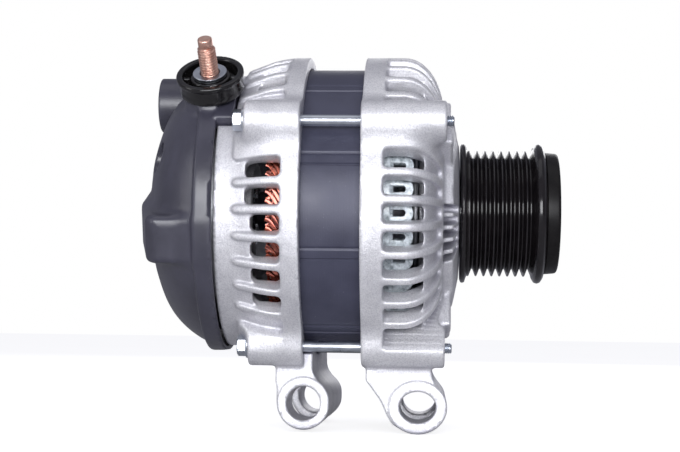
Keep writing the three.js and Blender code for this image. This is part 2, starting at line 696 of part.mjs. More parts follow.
// Insulating ring round the terminal: a rim, a collar for the washer, webs, and a bush round the stud.
function terminalGuard() {
  const { outerRadius, rim, collarRadius, height, bushRadius, bushDepth } = GUARD;
  const outerWall = tube(-height, 0, outerRadius - rim, outerRadius, SEGMENTS.medium);
  const collar = tube(-height, -1.6, 4.8, collarRadius, SEGMENTS.small);
  const floor = tube(-height, 2 - height, 4.8, outerRadius - 1, SEGMENTS.medium);
  const bush = tube(-bushDepth, 1 - height, 4.8, bushRadius, SEGMENTS.small);
  const webs = evenAngles(4)
    .map((angle) => box([-height, -2.4], [collarRadius - 1, outerRadius - 1], [-0.7, 0.7])
      .rotate([angle, 0, 0]));
  return onTerminal(joined(outerWall, collar, floor, bush, webs));
}

function terminalWasher() {
  return onTerminal(tube(-1.3, 0.3, 4.3, 7.3, 20));
}

function terminalStud() {
  const { radius, top, dogRadius, dogLength, foot } = STUD;
  const dogFoot = top - dogLength;
  return onTerminal(turned([[foot, 0], [foot, radius], [dogFoot, radius], [dogFoot + 0.8, dogRadius],
    [top, dogRadius], [top, 0]], 14));
}

// ---------------------------------------------------------------- assembly

const casing = assembly(
  part('front_bracket', frontBracket(), FINISH.castAluminium),
  part('rear_bracket', rearBracket(), FINISH.castAluminium),
  part('stator_core', statorCore(), FINISH.corePaint),
  part('stator_winding', statorWinding(), FINISH.enamel),
  BOLT.angles.map((angle, i) => placedAt(part(`through_bolt_${i + 1}`, throughBolt(BOSS.frontEnds[i]),
    FINISH.steel), BOLT.circle, angle)),
  part('front_bearing_outer_race', outerRace(FRONT_BEARING), FINISH.steel),
  part('rear_bearing_outer_race', outerRace(REAR_BEARING), FINISH.steel),
  part('bearing_retainer_plate', retainerPlate(), FINISH.steel),
  evenAngles(RETAINER.screws, 45).map((angle, i) => placedAt(part(`retainer_screw_${i + 1}`, retainerScrew(),
    FINISH.steel), RETAINER.screwCircle, angle)),
);

const electrics = assembly(
  part('rear_cover', rearCover(), FINISH.coverPlastic),
  STUDS.angles.map((angle, i) => placedAt(part(`cover_stud_${i + 1}`, coverStud(), FINISH.steel),
    STUDS.circle, angle)),
  STUDS.angles.map((angle, i) => placedAt(part(`cover_nut_${i + 1}`, coverNut(), FINISH.steel),
    STUDS.circle, angle)),
  part('rectifier_negative_plate', negativePlate(), FINISH.steel),
  part('rectifier_positive_plate', positivePlate(), FINISH.steel),
  part('rectifier_terminal_block', terminalBlock(), FINISH.tanPlastic),
  DIODE.angles.map((angle, i) => placedAt(part(`rectifier_diode_${i + 1}`, diode(), FINISH.darkSteel),
    DIODE.circle, angle)),
  part('voltage_regulator', voltageRegulator(), FINISH.darkSteel),
  part('plug_socket', plugSocket(), FINISH.coverPlastic),
  part('brush_holder', brushHolder(), FINISH.tanPlastic),
  SLIP_RINGS.starts.map((start, i) => part(`brush_${i + 1}`, brush(start), FINISH.graphite)),
  SLIP_RINGS.starts.map((start, i) => part(`brush_spring_${i + 1}`, brushSpring(start), FINISH.steel)),
  part('terminal_guard', terminalGuard(), FINISH.glossPlastic),
  part('terminal_washer', terminalWasher(), FINISH.steel),
  part('terminal_stud', terminalStud(), FINISH.copper),
);

const rotor = assembly(
  part('rotor_shaft', rotorShaft(), FINISH.darkSteel),
  part('pole_claw_front', poleClaw(0), FINISH.darkSteel),
  part('pole_claw_rear', reversed(poleClaw(22.5)), FINISH.darkSteel),
  part('coil_bobbin', coilBobbin(), FINISH.tanPlastic),
  part('field_coil', fieldCoil(), FINISH.enamel),
  part('front_fan', fan(35), FINISH.steel),
  part('rear_fan', reversed(fan(-35)), FINISH.steel),
  part('slip_ring_sleeve', slipRingSleeve(), FINISH.tanPlastic),
  SLIP_RINGS.starts.map((start, i) => part(`slip_ring_${i + 1}`, slipRing(start), FINISH.copper)),
  part('front_bearing_inner_race', innerRace(FRONT_BEARING), FINISH.steel),
  part('rear_bearing_inner_race', innerRace(REAR_BEARING), FINISH.steel),
  part('front_bearing_balls', ballSet(FRONT_BEARING), FINISH.steel),
  part('rear_bearing_balls', ballSet(REAR_BEARING), FINISH.steel),
  part('spacer_collar', spacerCollar(), FINISH.steel),
);

const pulley = assembly(
  part('pulley_hub', pulleyHub(), FINISH.darkSteel),
  part('clutch_roller_cage', rollerCage(), FINISH.darkSteel),
  part('pulley_ring', pulleyRing(), FINISH.pulleyBlack),
  part('pulley_cap', pulleyCap(), FINISH.glossPlastic),
);

const alternator = assembly(casing, electrics, rotor, pulley);
alternator.position.x = -CAP.end;

export default alternator;
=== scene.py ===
"""The looks of a car alternator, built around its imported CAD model.

Sizes are millimetres in the core frame: X runs along the shaft from the middle of the stator core towards
the pulley, Z is up, and angles in the YZ plane are degrees from +Y towards +Z, so 180 faces the camera.
Castings and mouldings are signed distance fields on a block of voxels, meshed by OpenVDB. Turned, threaded
and bent pieces are meshes made from profiles. A piece is named after the CAD node that it stands for.
"""

import json
import math

import bpy
import numpy as np
import openvdb
from mathutils import Matrix, Vector

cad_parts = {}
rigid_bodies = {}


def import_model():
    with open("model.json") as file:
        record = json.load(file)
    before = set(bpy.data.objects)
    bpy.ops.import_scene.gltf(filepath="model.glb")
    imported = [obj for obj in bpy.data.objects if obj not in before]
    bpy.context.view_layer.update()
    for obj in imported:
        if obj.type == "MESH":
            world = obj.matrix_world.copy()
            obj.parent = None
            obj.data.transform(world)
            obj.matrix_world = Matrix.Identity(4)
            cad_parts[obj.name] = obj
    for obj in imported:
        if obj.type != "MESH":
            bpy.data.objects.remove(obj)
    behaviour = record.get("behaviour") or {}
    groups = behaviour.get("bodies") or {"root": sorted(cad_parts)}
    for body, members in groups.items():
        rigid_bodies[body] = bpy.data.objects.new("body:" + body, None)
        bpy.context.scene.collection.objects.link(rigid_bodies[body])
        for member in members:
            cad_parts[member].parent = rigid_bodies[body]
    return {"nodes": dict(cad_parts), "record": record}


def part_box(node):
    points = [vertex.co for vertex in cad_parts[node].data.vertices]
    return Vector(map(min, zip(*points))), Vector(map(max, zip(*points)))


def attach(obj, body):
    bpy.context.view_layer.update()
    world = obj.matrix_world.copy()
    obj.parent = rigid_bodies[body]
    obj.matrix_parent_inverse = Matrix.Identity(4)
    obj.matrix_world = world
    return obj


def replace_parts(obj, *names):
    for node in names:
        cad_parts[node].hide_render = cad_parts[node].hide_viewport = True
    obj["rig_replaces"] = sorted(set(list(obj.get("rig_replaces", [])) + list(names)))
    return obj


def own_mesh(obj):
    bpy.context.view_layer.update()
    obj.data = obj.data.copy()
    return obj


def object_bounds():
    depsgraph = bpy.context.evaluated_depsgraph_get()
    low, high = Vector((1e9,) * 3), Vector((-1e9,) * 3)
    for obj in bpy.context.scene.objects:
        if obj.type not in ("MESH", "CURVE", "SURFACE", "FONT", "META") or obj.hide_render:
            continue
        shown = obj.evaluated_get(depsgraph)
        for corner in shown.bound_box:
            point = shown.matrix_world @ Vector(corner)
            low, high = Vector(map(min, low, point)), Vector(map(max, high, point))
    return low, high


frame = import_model()
cad_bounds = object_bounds()

MM = 0.001
CORE_X = sum(corner.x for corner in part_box("stator_core")) / 2
BODIES = frame["record"]["behaviour"]["bodies"]
NODE_BODY = {node: body for body, nodes in BODIES.items() for node in nodes}
NODE_SLOT = {part["node"]: part["material_slot"] for part in frame["record"]["subparts"]}


def span(node, axis):
    """Where a CAD node starts and ends along an axis (0, 1, 2), in core millimetres."""
    shift = CORE_X if axis == 0 else 0
    low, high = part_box(node)
    return (low[axis] - shift) / MM, (high[axis] - shift) / MM


# ---- driving dimensions

VOXEL = 0.6
FINE_VOXEL = 0.35
PAST_AXIS = -30  # where turned outlines close, beyond the axis, so that no surface lies on it

BODY_RADIUS = 69.5
BOLT_CIRCLE = 69.2
BOLT_ANGLES = [151.5, 241.5, 331.5, 61.5]
SPLIT_X = 12.4
BOSS_RADIUS = 8.5
BOLT_TIP = 3
FRONT_BOSS_ENDS = [span(f"through_bolt_{i + 1}", 0)[1] - BOLT_TIP for i in range(len(BOLT_ANGLES))]
REAR_BOSS_END = span("through_bolt_1", 0)[0] + 5
FRONT_NOSE = span("front_bracket", 0)[1]
REAR_BACK = -49

FRONT_WINDOWS = {"first": 160.9, "pitch": 9.65, "count": 8, "rib": 3.5}
REAR_WINDOWS = {"first": 163.7, "pitch": 10.15, "count": 7, "rib": 3.4}
WINDOW_DRAFT = math.tan(math.radians(3))
BOTTOM_QUARTER = 1  # the quarter that carries the lugs, and no windows
CLOSED = -9  # half the width of a window that isn't there

LUG_NEAR, LUG_FAR = -34, 58
LUG_POCKET = (-6, 32)
LUG_SIDE = [(LUG_NEAR, -99), (LUG_FAR, -99), (LUG_FAR, -73), (46, -50), (LUG_NEAR, -50)]
REAR_LUG = {"x": -12.3, "z": -85.2, "half": (11.3, 11.3), "bore": (7.25, 7.25)}
FRONT_LUG = {"x": 36.7, "z": -86.2, "half": (12.6, 11.4), "bore": (7.8, 6.6)}

CORE_RADIUS = span("stator_core", 2)[1]
CORE_END = span("stator_core", 0)[1]

M5_RADIUS = 2.4
SPANNER = 8.0
STUD_CIRCLE = 40
STUD_ANGLES = [30, 150, 270]
NUT_SEAT = span("cover_nut_1", 0)[1] + 0.4
NUT_PAD_FOOT = -68

TERMINAL = {"x": -53.3, "angle": 130.6, "face": 73, "lean": 3}
GUARD = {"radius": 14.6, "rim": 2.8, "collar": 8.6, "height": 8.4, "bush": 6.4, "depth": 20}
SOCKET = {"y": 4, "z": 49, "radius": 12.5, "bore": 10.4, "floor": -66}
TERMINAL_NOTCH = {"angle": 133, "half_width": 16, "x": (-50, -41.5), "radii": (54, 80)}
BUMP_ANGLE = 197
BUMP = {
    "outline": [(-50, 60.2), (-74.5, 60.2), (-78, 57.4), (-85.2, 28), (-85.2, 12), (-50, 12)],
    "half_width": 10.4,
}


# ---- signed distance fields


class Block:
    """A block of voxels in core millimetres. Its methods give signed distances, negative inside."""

    def __init__(self, x, y, z, voxel):
        self.voxel = voxel
        self.low = np.array([x[0], y[0], z[0]], np.float32) - 3 * voxel
        counts = [math.ceil((high - low) / voxel) + 7 for low, high in (x, y, z)]
        axes = [low + voxel * np.arange(n, dtype=np.float32) for low, n in zip(self.low, counts)]
        self.x = axes[0][:, None, None]
        self.y = axes[1][None, :, None]
        self.z = axes[2][None, None, :]
        self.r = np.hypot(self.y, self.z)
        self.angle = np.degrees(np.arctan2(self.z, self.y)) % 360

    def turned(self, outline):
        """A solid under an outline of (x, radius) points, turned about the shaft."""
        outline = [(outline[0][0], PAST_AXIS), *outline, (outline[-1][0], PAST_AXIS)]
        step = self.voxel / 2
        radii = np.arange(0, self.r.max() + 3 * step, step, dtype=np.float32)
        table = outline_distance(outline, self.x[:, :, 0], radii[None, :])
        place = self.r[0] / step
        index = place.astype(int)
        share = place - index
        return table[:, index] * (1 - share) + table[:, index + 1] * share

    def rod(self, centre, radius, start, end, edge=0.0):
        """A cylinder along X round a (y, z) centre, with rounded ends."""
        flat = np.hypot(self.y - centre[0], self.z - centre[1]) - radius
        return self.prism_x(flat, start, end, edge)

    def prism_x(self, flat, start, end, edge=0.0):
        return extruded(flat, between(self.x, start, end), edge)

    def prism_y(self, flat, start, end, edge=0.0):
        return extruded(flat, between(self.y, start, end), edge)

    def radial_box(self, angle, x, radii, half_width, edge):
        """A box that reaches from the shaft at an angle."""
        out, across = turned_axes(self, angle)
        flat = rounded_box(out - sum(radii) / 2, across, abs(radii[1] - radii[0]) / 2, half_width, edge)
        return self.prism_x(flat, x[0], x[1], edge)


def between(place, start, end):
    """Signed distance to the slab from start to end."""
    return np.abs(place - (start + end) / 2) - abs(end - start) / 2


def arc_offset(block, turn, pitch, first, last):
    """Distance along the arc from the nearest multiple of pitch degrees, from the first to the last."""
    return np.radians(turn - np.clip(np.round(turn / pitch), first, last) * pitch) * block.r


def turned_axes(block, angle):
    """Distances out from the shaft along an angle, and across it."""
    c, s = polar(1, angle)
    return block.y * c + block.z * s, block.z * c - block.y * s


def outline_distance(points, u, v):
    """Signed distance from (u, v) to a closed outline."""
    nearest = np.full(np.broadcast(u, v).shape, np.inf, np.float32)
    inside = np.zeros(nearest.shape, bool)
    for (au, av), (bu, bv) in zip(points, points[1:] + points[:1]):
        eu, ev = bu - au, bv - av
        share = np.clip(((u - au) * eu + (v - av) * ev) / (eu * eu + ev * ev), 0, 1)
        nearest = np.minimum(nearest, (u - au - share * eu) ** 2 + (v - av - share * ev) ** 2)
        if ev:
            inside ^= ((av > v) != (bv > v)) & (u < au + (v - av) * eu / ev)
    return np.where(inside, -1, 1) * np.sqrt(nearest)


def corner(a, b):
    """Two distances as the distance to the wedge between their surfaces."""
    return np.minimum(np.maximum(a, b), 0) + np.hypot(np.maximum(a, 0), np.maximum(b, 0))


def extruded(flat, depth, edge):
    return corner(flat + edge, depth + edge) - edge


def rounded_box(u, v, half_u, half_v, edge):
    return corner(np.abs(u) - half_u + edge, np.abs(v) - half_v + edge) - edge


def ellipse_distance(u, v, half_u, half_v):
    """Near enough to the distance to an ellipse that is almost round."""
    scale = np.sqrt((u / half_u) ** 2 + (v / half_v) ** 2)
    return (scale - 1) * (half_u + half_v) / 2


def joined(a, b, fillet=0.0):
    """Union, with a fillet where the two meet."""
    if not fillet:
        return np.minimum(a, b)
    near = np.maximum(fillet - np.abs(a - b), 0)
    return np.minimum(a, b) - near * near / (4 * fillet)


def cut(a, b, edge=0.0):
    """a without b, with a rounded edge."""
    return -joined(-a, b, edge)


def common(a, b, edge=0.0):
    return -joined(-a, -b, edge)


def arc(centre, radii, start, end, steps):
    """Points on an elliptical arc, from one angle in degrees to another."""
    turn = np.radians(np.linspace(start, end, steps))
    return [(centre[0] + radii[0] * math.cos(t), centre[1] + radii[1] * math.sin(t)) for t in turn]


def smooth_curve(points, steps=6):
    """A Catmull-Rom curve through the points."""
    p = [np.array(q, float) for q in [points[0], *points, points[-1]]]
    curve = []
    for a, b, c, d in zip(p, p[1:], p[2:], p[3:]):
        for t in np.arange(steps) / steps:
            q = b + 0.5 * t * (c - a + t * (2 * a - 5 * b + 4 * c - d + t * (3 * (b - c) + d - a)))
            curve.append(tuple(q))
    return curve + [tuple(p[-1])]


def polar(radius, degrees):
    return radius * math.cos(math.radians(degrees)), radius * math.sin(math.radians(degrees))


# ---- meshes


def to_frame(points):
    """Core millimetres to the row frame's metres."""
    return np.asarray(points, float) * MM + np.array([CORE_X, 0, 0])


class Shape:
    """Points in core millimetres and faces, gathered from one or more closed shells."""

    def __init__(self):
        self.points = np.zeros((0, 3))
        self.faces = []

    def add(self, points, faces, move=None):
        points = np.asarray(points, float)
        if move is not None:
            points = points @ np.array(move)[:3, :3].T + np.array(move)[:3, 3]
        first = len(self.points)
        self.points = np.vstack([self.points, points])
        self.faces += [[first + i for i in face] for face in faces]
        return self

    def turned(self, profile, segments, move=None):
        """A closed profile of (x, radius) points turned about X."""
        return self.rings([(x, np.full(segments, r)) for x, r in profile], move)

    def rings(self, rings, move=None):
        """Rings about X, each an x and its radius at even angles. The last one joins up with the first."""
        segments = len(rings[0][1])
        return self.add(ring_points(rings), grid_faces(len(rings), segments, close_rows=True), move)

    def relief(self, stations, radius, segments, move=None):
        """A solid rod along X whose radius is a function of x and of the angle round it."""
        turn = even_turns(segments)
        rings = [(x, np.broadcast_to(radius(x, turn), turn.shape)) for x in stations]
        return self.add(ring_points(rings), capped_faces(len(stations), segments), move)

    def swept(self, path, section, upright, move=None):
        """A bar with a closed (u, v) section along a path, its v kept near the upright direction."""
        path = [Vector(p) for p in path]
        points = []
        for i, p in enumerate(path):
            along = (path[min(i + 1, len(path) - 1)] - path[max(i - 1, 0)]).normalized()
            v_axis = Vector(upright(p))
            v_axis = (v_axis - v_axis.dot(along) * along).normalized()
            u_axis = v_axis.cross(along)
            points += [tuple(p + u * u_axis + v * v_axis) for u, v in section]
        return self.add(points, capped_faces(len(path), len(section)), move)


def even_turns(count):
    return np.linspace(0, 2 * math.pi, count, endpoint=False)


def ring_points(rings):
    points = []
    for x, radii in rings:
        points += [(x, r * math.cos(t), r * math.sin(t)) for t, r in zip(even_turns(len(radii)), radii)]
    return points


def grid_faces(rows, columns, close_rows=False):
    """Quads between rows of points whose columns close on themselves."""
    faces = []
    for i in range(rows if close_rows else rows - 1):
        row, next_row = i * columns, (i + 1) % rows * columns
        for j in range(columns):
            beside = (j + 1) % columns
            faces.append([row + j, next_row + j, next_row + beside, row + beside])
    return faces


def capped_faces(rows, columns):
    """The quads of a rod, and the two faces that end it."""
    first, last = list(range(columns)), list(range((rows - 1) * columns, rows * columns))
    return [*grid_faces(rows, columns), first[::-1], last]


def filleted(points, radius, steps=4):
    """A closed outline with its corners rounded. radius is one number, or one for each point."""
    count = len(points)
    radii = radius if isinstance(radius, (list, tuple)) else [radius] * count
    outline = []
    for i, r in enumerate(radii):
        before, here, after = (np.array(points[(i + k) % count], float) for k in (-1, 0, 1))
        a, b = before - here, after - here
        la, lb = np.linalg.norm(a), np.linalg.norm(b)
        half = math.acos(np.clip(a @ b / (la * lb), -1, 1)) / 2
        if r <= 0 or half > 1.56:
            outline.append(tuple(here.tolist()))
            continue
        reach = min(r / math.tan(half), 0.48 * la, 0.48 * lb)
        start, end = here + a / la * reach, here + b / lb * reach
        for t in np.linspace(0, 1, steps + 1):
            bend = (1 - t) ** 2 * start + 2 * t * (1 - t) * here + t**2 * end
            outline.append(tuple(bend.tolist()))
    return outline


def round_section(radius, count):
    return [(radius * math.cos(t), radius * math.sin(t)) for t in even_turns(count)]


def build_mesh(name, points, corners, sizes, material):
    """An object from points, one list of face corners and the number of corners of each face."""
    mesh = bpy.data.meshes.new(name)
    mesh.vertices.add(len(points))
    mesh.vertices.foreach_set("co", to_frame(points).astype(np.float32).ravel())
    mesh.loops.add(len(corners))
    mesh.loops.foreach_set("vertex_index", np.asarray(corners, np.int32))
    mesh.polygons.add(len(sizes))
    sizes = np.asarray(sizes, np.int32)
    mesh.polygons.foreach_set("loop_start", np.concatenate([[0], np.cumsum(sizes)[:-1]]).astype(np.int32))
    mesh.polygons.foreach_set("use_smooth", np.ones(len(sizes), bool))
    mesh.update(calc_edges=True)
    mesh.validate()
    mesh.materials.append(material)
    piece = bpy.data.objects.new(name, mesh)
    bpy.context.scene.collection.objects.link(piece)
    return piece


def piece_for(node, piece):
    """Puts a finished piece in place of the CAD node it is named after."""
    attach(piece, NODE_BODY[node])
    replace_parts(piece, node)
    return piece


def shape_object(name, shape, material, crease=32):
    """An object made from a Shape, with edges sharper than crease degrees kept crisp."""
    corners = [i for face in shape.faces for i in face]
    piece = build_mesh(name, shape.points, corners, [len(face) for face in shape.faces], material)
    piece.data.set_sharp_from_angle(angle=math.radians(crease))
    return piece


def from_shape(node, shape, crease=32, finish=None):
    """The piece that stands for a node, in the node's own finish unless another is named."""
    material = MATERIALS[finish or NODE_SLOT[node]]
    return piece_for(node, shape_object(f"{node}_look", shape, material, crease))


def from_field(node, block, field):
    """A piece made from a signed distance field, shaded by the field's own gradient."""
    field = field.astype(np.float32) / block.voxel
    band = np.clip(field, -3, 3)
    volume = openvdb.FloatGrid(3.0)
    volume.copyFromArray(np.ascontiguousarray(band))
    adaptivity = 0.02
    points, triangles, quads = volume.convertToPolygons(0.0, adaptivity)
    corners = np.concatenate([triangles.ravel(), quads.ravel()])
    sizes = np.concatenate([np.full(len(triangles), 3), np.full(len(quads), 4)])
    material = MATERIALS[NODE_SLOT[node]]
    piece = build_mesh(f"{node}_look", points * block.voxel + block.low, corners, sizes, material)
    normals = sampled_gradient(band, points)
    piece.data.normals_split_custom_set_from_vertices(normals.tolist())
    piece_for(node, piece)


def sampled_gradient(field, points):
    """The field's gradient at points given in voxels, as unit vectors."""
    base = np.floor(points).astype(int)
    share = points - base
    total = np.zeros((len(points), 3))
    for step in np.ndindex(2, 2, 2):
        weight = np.abs(1 - np.array(step) - share).prod(axis=1)
        i, j, k = (base + step).T
        slope = [
            field[i + 1, j, k] - field[i - 1, j, k],
            field[i, j + 1, k] - field[i, j - 1, k],
            field[i, j, k + 1] - field[i, j, k - 1],
        ]
        total += weight[:, None] * np.stack(slope, 1)
    return total / np.maximum(np.linalg.norm(total, axis=1, keepdims=True), 1e-9)


# ---- materials


class Finish:
    """A node material, with the few kinds of node that every finish here is made of."""

    def __init__(self, name, metallic=0.0, coat=0.0, specular=0.5):
        self.material = bpy.data.materials.new(name)
        self.material.use_nodes = True
        self.tree = self.material.node_tree
        self.shader = self.tree.nodes["Principled BSDF"]
        settings = {"Metallic": metallic, "Coat Weight": coat, "Specular IOR Level": specular}
        for setting, value in settings.items():
            self.shader.inputs[setting].default_value = value
        self.place = self.node("ShaderNodeTexCoord").outputs["Object"]

    def node(self, kind, **inputs):
        made = self.tree.nodes.new(kind)
        for name, value in inputs.items():
            self.feed(made.inputs[name.replace("_", " ")], value)
        return made

    def feed(self, socket, value):
        if isinstance(value, bpy.types.NodeSocket):
            self.tree.links.new(value, socket)
        else:
            socket.default_value = value

    def noise(self, size, detail=4, rough=0.55, stretch=(1, 1, 1), seed=0.0):
        """Noise with features of about size millimetres, longer along an axis by its stretch."""
        mapping = self.node("ShaderNodeMapping", Vector=self.place)
        mapping.inputs["Scale"].default_value = [1 / (size * MM * s) for s in stretch]
        mapping.inputs["Location"].default_value = (seed, seed * 0.7, seed * 1.3)
        texture = self.node("ShaderNodeTexNoise", Vector=mapping.outputs[0], Detail=detail, Roughness=rough)
        texture.inputs["Scale"].default_value = 1
        return texture.outputs["Fac"]

    def ramp(self, value, low, high, start=0.3, end=0.7):
        """Colour or number that goes from low to high as value goes from start to end."""
        steps = self.node("ShaderNodeMapRange", Value=value)
        steps.inputs["From Min"].default_value = start
        steps.inputs["From Max"].default_value = end
        if isinstance(low, (int, float)):
            steps.inputs["To Min"].default_value = low
            steps.inputs["To Max"].default_value = high
            return steps.outputs[0]
        return self.mix(steps.outputs[0], low, high)

    def mix(self, share, low, high):
        blend = self.node("ShaderNodeMix")
        blend.data_type = "RGBA"
        self.feed(blend.inputs[0], share)
        self.feed(blend.inputs[6], rgba(low))
        self.feed(blend.inputs[7], rgba(high))
        return blend.outputs[2]

    def worn_edges(self, colour, worn, start=0.53, end=0.6):
        """Colour that turns to worn on convex edges."""
        pointed = self.node("ShaderNodeNewGeometry").outputs["Pointiness"]
        return self.mix(self.ramp(pointed, 0.0, 1.0, start, end), colour, worn)

    def shaded(self, colour, dark, distance=6):
        """Colour with painted shade: it turns to dark inside corners and recesses, by ambient occlusion."""
        shade = self.node("ShaderNodeAmbientOcclusion", Distance=distance * MM)
        shade.samples = 8
        return self.mix(shade.outputs["AO"], dark, colour)

    def bumps(self, *heights):
        """Surface relief from (height value, depth in millimetres) pairs."""
        normal = None
        for value, depth in heights:
            bump = self.node("ShaderNodeBump", Height=value, Distance=depth * MM)
            if normal is not None:
                self.feed(bump.inputs["Normal"], normal)
            normal = bump.outputs[0]
        self.feed(self.shader.inputs["Normal"], normal)

    def done(self, colour, roughness):
        self.feed(self.shader.inputs["Base Color"], rgba(colour))
        self.feed(self.shader.inputs["Roughness"], roughness)
        return self.material


def rgba(colour):
    return (*colour, 1) if isinstance(colour, tuple) and len(colour) == 3 else colour


def cast_aluminium():
    """Blasted die casting: very light and coarsely grained, with painted cool shade in its recesses."""
    f = Finish("cast_aluminium", metallic=0.6)
    cloud = f.noise(12)
    grain = f.noise(0.7, detail=5, rough=0.72)
    colour = f.ramp(cloud, (0.74, 0.735, 0.76), (0.93, 0.925, 0.94))
    colour = f.mix(f.ramp(grain, 0.0, 1.0, 0.36, 0.58), f.mix(0.55, colour, (0.46, 0.455, 0.50)), colour)
    # painted shade: ambient occlusion darkens recesses and corners towards a cool grey
    colour = f.shaded(colour, (0.26, 0.255, 0.33))
    colour = f.worn_edges(colour, (0.98, 0.98, 1.0))
    f.bumps((grain, 0.22), (f.noise(3.5, detail=3), 0.14))
    return f.done(colour, f.ramp(grain, 0.5, 0.32))


def core_paint():
    """Slate blue paint over stacked laminations."""
    f = Finish("core_paint", metallic=0.15)
    cloud = f.noise(18)
    speck = f.noise(0.8, detail=2, seed=3)
    layers = f.noise(0.35, detail=2, stretch=(1, 200, 200), seed=1)
    colour = f.ramp(cloud, (0.046, 0.047, 0.076), (0.064, 0.066, 0.104))
    colour = f.mix(f.ramp(speck, 0.0, 0.5, 0.72, 0.8), colour, (0.3, 0.3, 0.38))
    f.bumps((layers, 0.05), (speck, 0.03))
    return f.done(colour, f.ramp(cloud, 0.36, 0.5))


def plated_steel(name, tint, dark, roughness):
    """Clean steel or plating, in soft clouds of two tints."""
    f = Finish(name, metallic=1.0)
    cloud = f.noise(9, detail=3)
    grain = f.noise(1.5, detail=2, seed=2)
    colour = f.ramp(cloud, dark, tint)
    f.bumps((grain, 0.008))
    return f.done(colour, f.ramp(cloud, *roughness))


def copper_plate():
    """Copper flash, with painted shade darkening the roots of the thread."""
    f = Finish("copper_plate", metallic=1.0)
    cloud = f.noise(5, detail=3)
    colour = f.ramp(cloud, (0.80, 0.44, 0.34), (0.97, 0.68, 0.56))
    # painted shade: ambient occlusion darkens the thread's roots to a deep red
    colour = f.shaded(colour, (0.20, 0.045, 0.03), distance=1)
    f.bumps((f.noise(1.2, detail=2), 0.005))
    return f.done(colour, f.ramp(cloud, 0.42, 0.34))


def enamelled_wire():
    """Red-brown enamel over copper."""
    f = Finish("enamelled_wire", metallic=0.85, coat=0.8)
    cloud = f.noise(3, detail=3)
    colour = f.ramp(cloud, (0.16, 0.03, 0.022), (0.52, 0.14, 0.085))
    f.bumps((f.noise(1.2, detail=2), 0.05))
    return f.done(colour, f.ramp(cloud, 0.18, 0.32))


def winding_resin():
    """Pale resin dipped over the front end turns."""
    f = Finish("winding_resin", metallic=0.1, coat=0.7)
    cloud = f.noise(2.2)
    colour = f.ramp(cloud, (0.24, 0.28, 0.30), (0.74, 0.80, 0.84), 0.32, 0.66)
    f.bumps((cloud, 0.6), (f.noise(0.8, detail=2), 0.1))
    return f.done(colour, f.ramp(cloud, 0.22, 0.45))


def cover_plastic():
    """Satin glass-filled moulding with a faint flow pattern."""
    f = Finish("cover_plastic", specular=0.8)
    cloud = f.noise(16, detail=5, stretch=(1, 1, 2))
    fibre = f.noise(0.45, rough=0.7, seed=4)
    colour = f.ramp(cloud, (0.034, 0.033, 0.048), (0.056, 0.055, 0.080))
    colour = f.worn_edges(colour, (0.09, 0.087, 0.11), 0.54, 0.62)
    f.bumps((fibre, 0.03), (f.noise(5, detail=3, seed=5), 0.08))
    return f.done(colour, f.ramp(cloud, 0.3, 0.42))


def black_plastic(name, roughness, coat=0.0, specular=0.5):
    """Deep black moulding with a slightly wavy surface."""
    f = Finish(name, coat=coat, specular=specular)
    cloud = f.noise(6, detail=3)
    colour = f.ramp(cloud, (0.005, 0.0045, 0.005), (0.010, 0.009, 0.009))
    f.bumps((f.noise(2.2, detail=3), 0.03))
    return f.done(colour, f.ramp(cloud, *roughness))


def tan_plastic():
    """Dull brown moulding of the insulating parts inside."""
    f = Finish("tan_plastic")
    cloud = f.noise(4)
    f.bumps((f.noise(0.6, detail=3), 0.04))
    return f.done(f.ramp(cloud, (0.05, 0.04, 0.03), (0.09, 0.07, 0.05)), f.ramp(cloud, 0.45, 0.6))


def pulley_black():
    """Black oxide with turning marks that run round the pulley."""
    f = Finish("pulley_black")
    cloud = f.noise(7)
    marks = f.noise(0.12, detail=2, stretch=(1, 300, 300), seed=6)
    colour = f.ramp(cloud, (0.006, 0.005, 0.006), (0.012, 0.010, 0.011))
    colour = f.worn_edges(colour, (0.035, 0.03, 0.034), 0.56, 0.68)
    f.bumps((marks, 0.006))
    return f.done(colour, f.ramp(cloud, 0.1, 0.18))


def graphite():
    """Pressed carbon of the brushes."""
    f = Finish("graphite", metallic=0.3)
    cloud = f.noise(0.8)
    f.bumps((cloud, 0.03))
    return f.done(f.ramp(cloud, (0.035, 0.033, 0.034), (0.09, 0.085, 0.085)), f.ramp(cloud, 0.5, 0.7))


MATERIALS = {
    "cast_aluminium": cast_aluminium(),
    "core_paint": core_paint(),
    "zinc_steel": plated_steel("zinc_steel", (0.72, 0.75, 0.8), (0.5, 0.54, 0.6), (0.26, 0.36)),
    "bearing_steel": plated_steel("bearing_steel", (0.75, 0.76, 0.78), (0.6, 0.61, 0.63), (0.12, 0.2)),
    "dark_steel": plated_steel("dark_steel", (0.32, 0.32, 0.35), (0.16, 0.16, 0.18), (0.3, 0.5)),
    "sheet_steel": plated_steel("sheet_steel", (0.6, 0.61, 0.64), (0.42, 0.43, 0.46), (0.28, 0.45)),
    "copper_plate": copper_plate(),
    "winding_resin": winding_resin(),
    "enamelled_wire": enamelled_wire(),
    "cover_plastic": cover_plastic(),
    "gloss_plastic": black_plastic("gloss_plastic", (0.1, 0.18), coat=0.2),
    "cap_plastic": black_plastic("cap_plastic", (0.34, 0.44), specular=0.2),
    "tan_plastic": tan_plastic(),
    "pulley_black": pulley_black(),
    "graphite": graphite(),
}


# ---- cast brackets


def window_offsets(block, windows):
    """For each point round the shaft: its distance along the arc from the nearest window's middle, the
    window's number in its quarter, and the quarter's number from the near side."""
    lead_in = 15
    turn = (block.angle - windows["first"] + lead_in) % 360
    quarter = turn // 90
    turn = turn % 90 - lead_in
    number = np.clip(turn // windows["pitch"], 0, windows["count"] - 1)
    offset = np.radians(turn - (number + 0.5) * windows["pitch"]) * block.r
    return offset, number, quarter


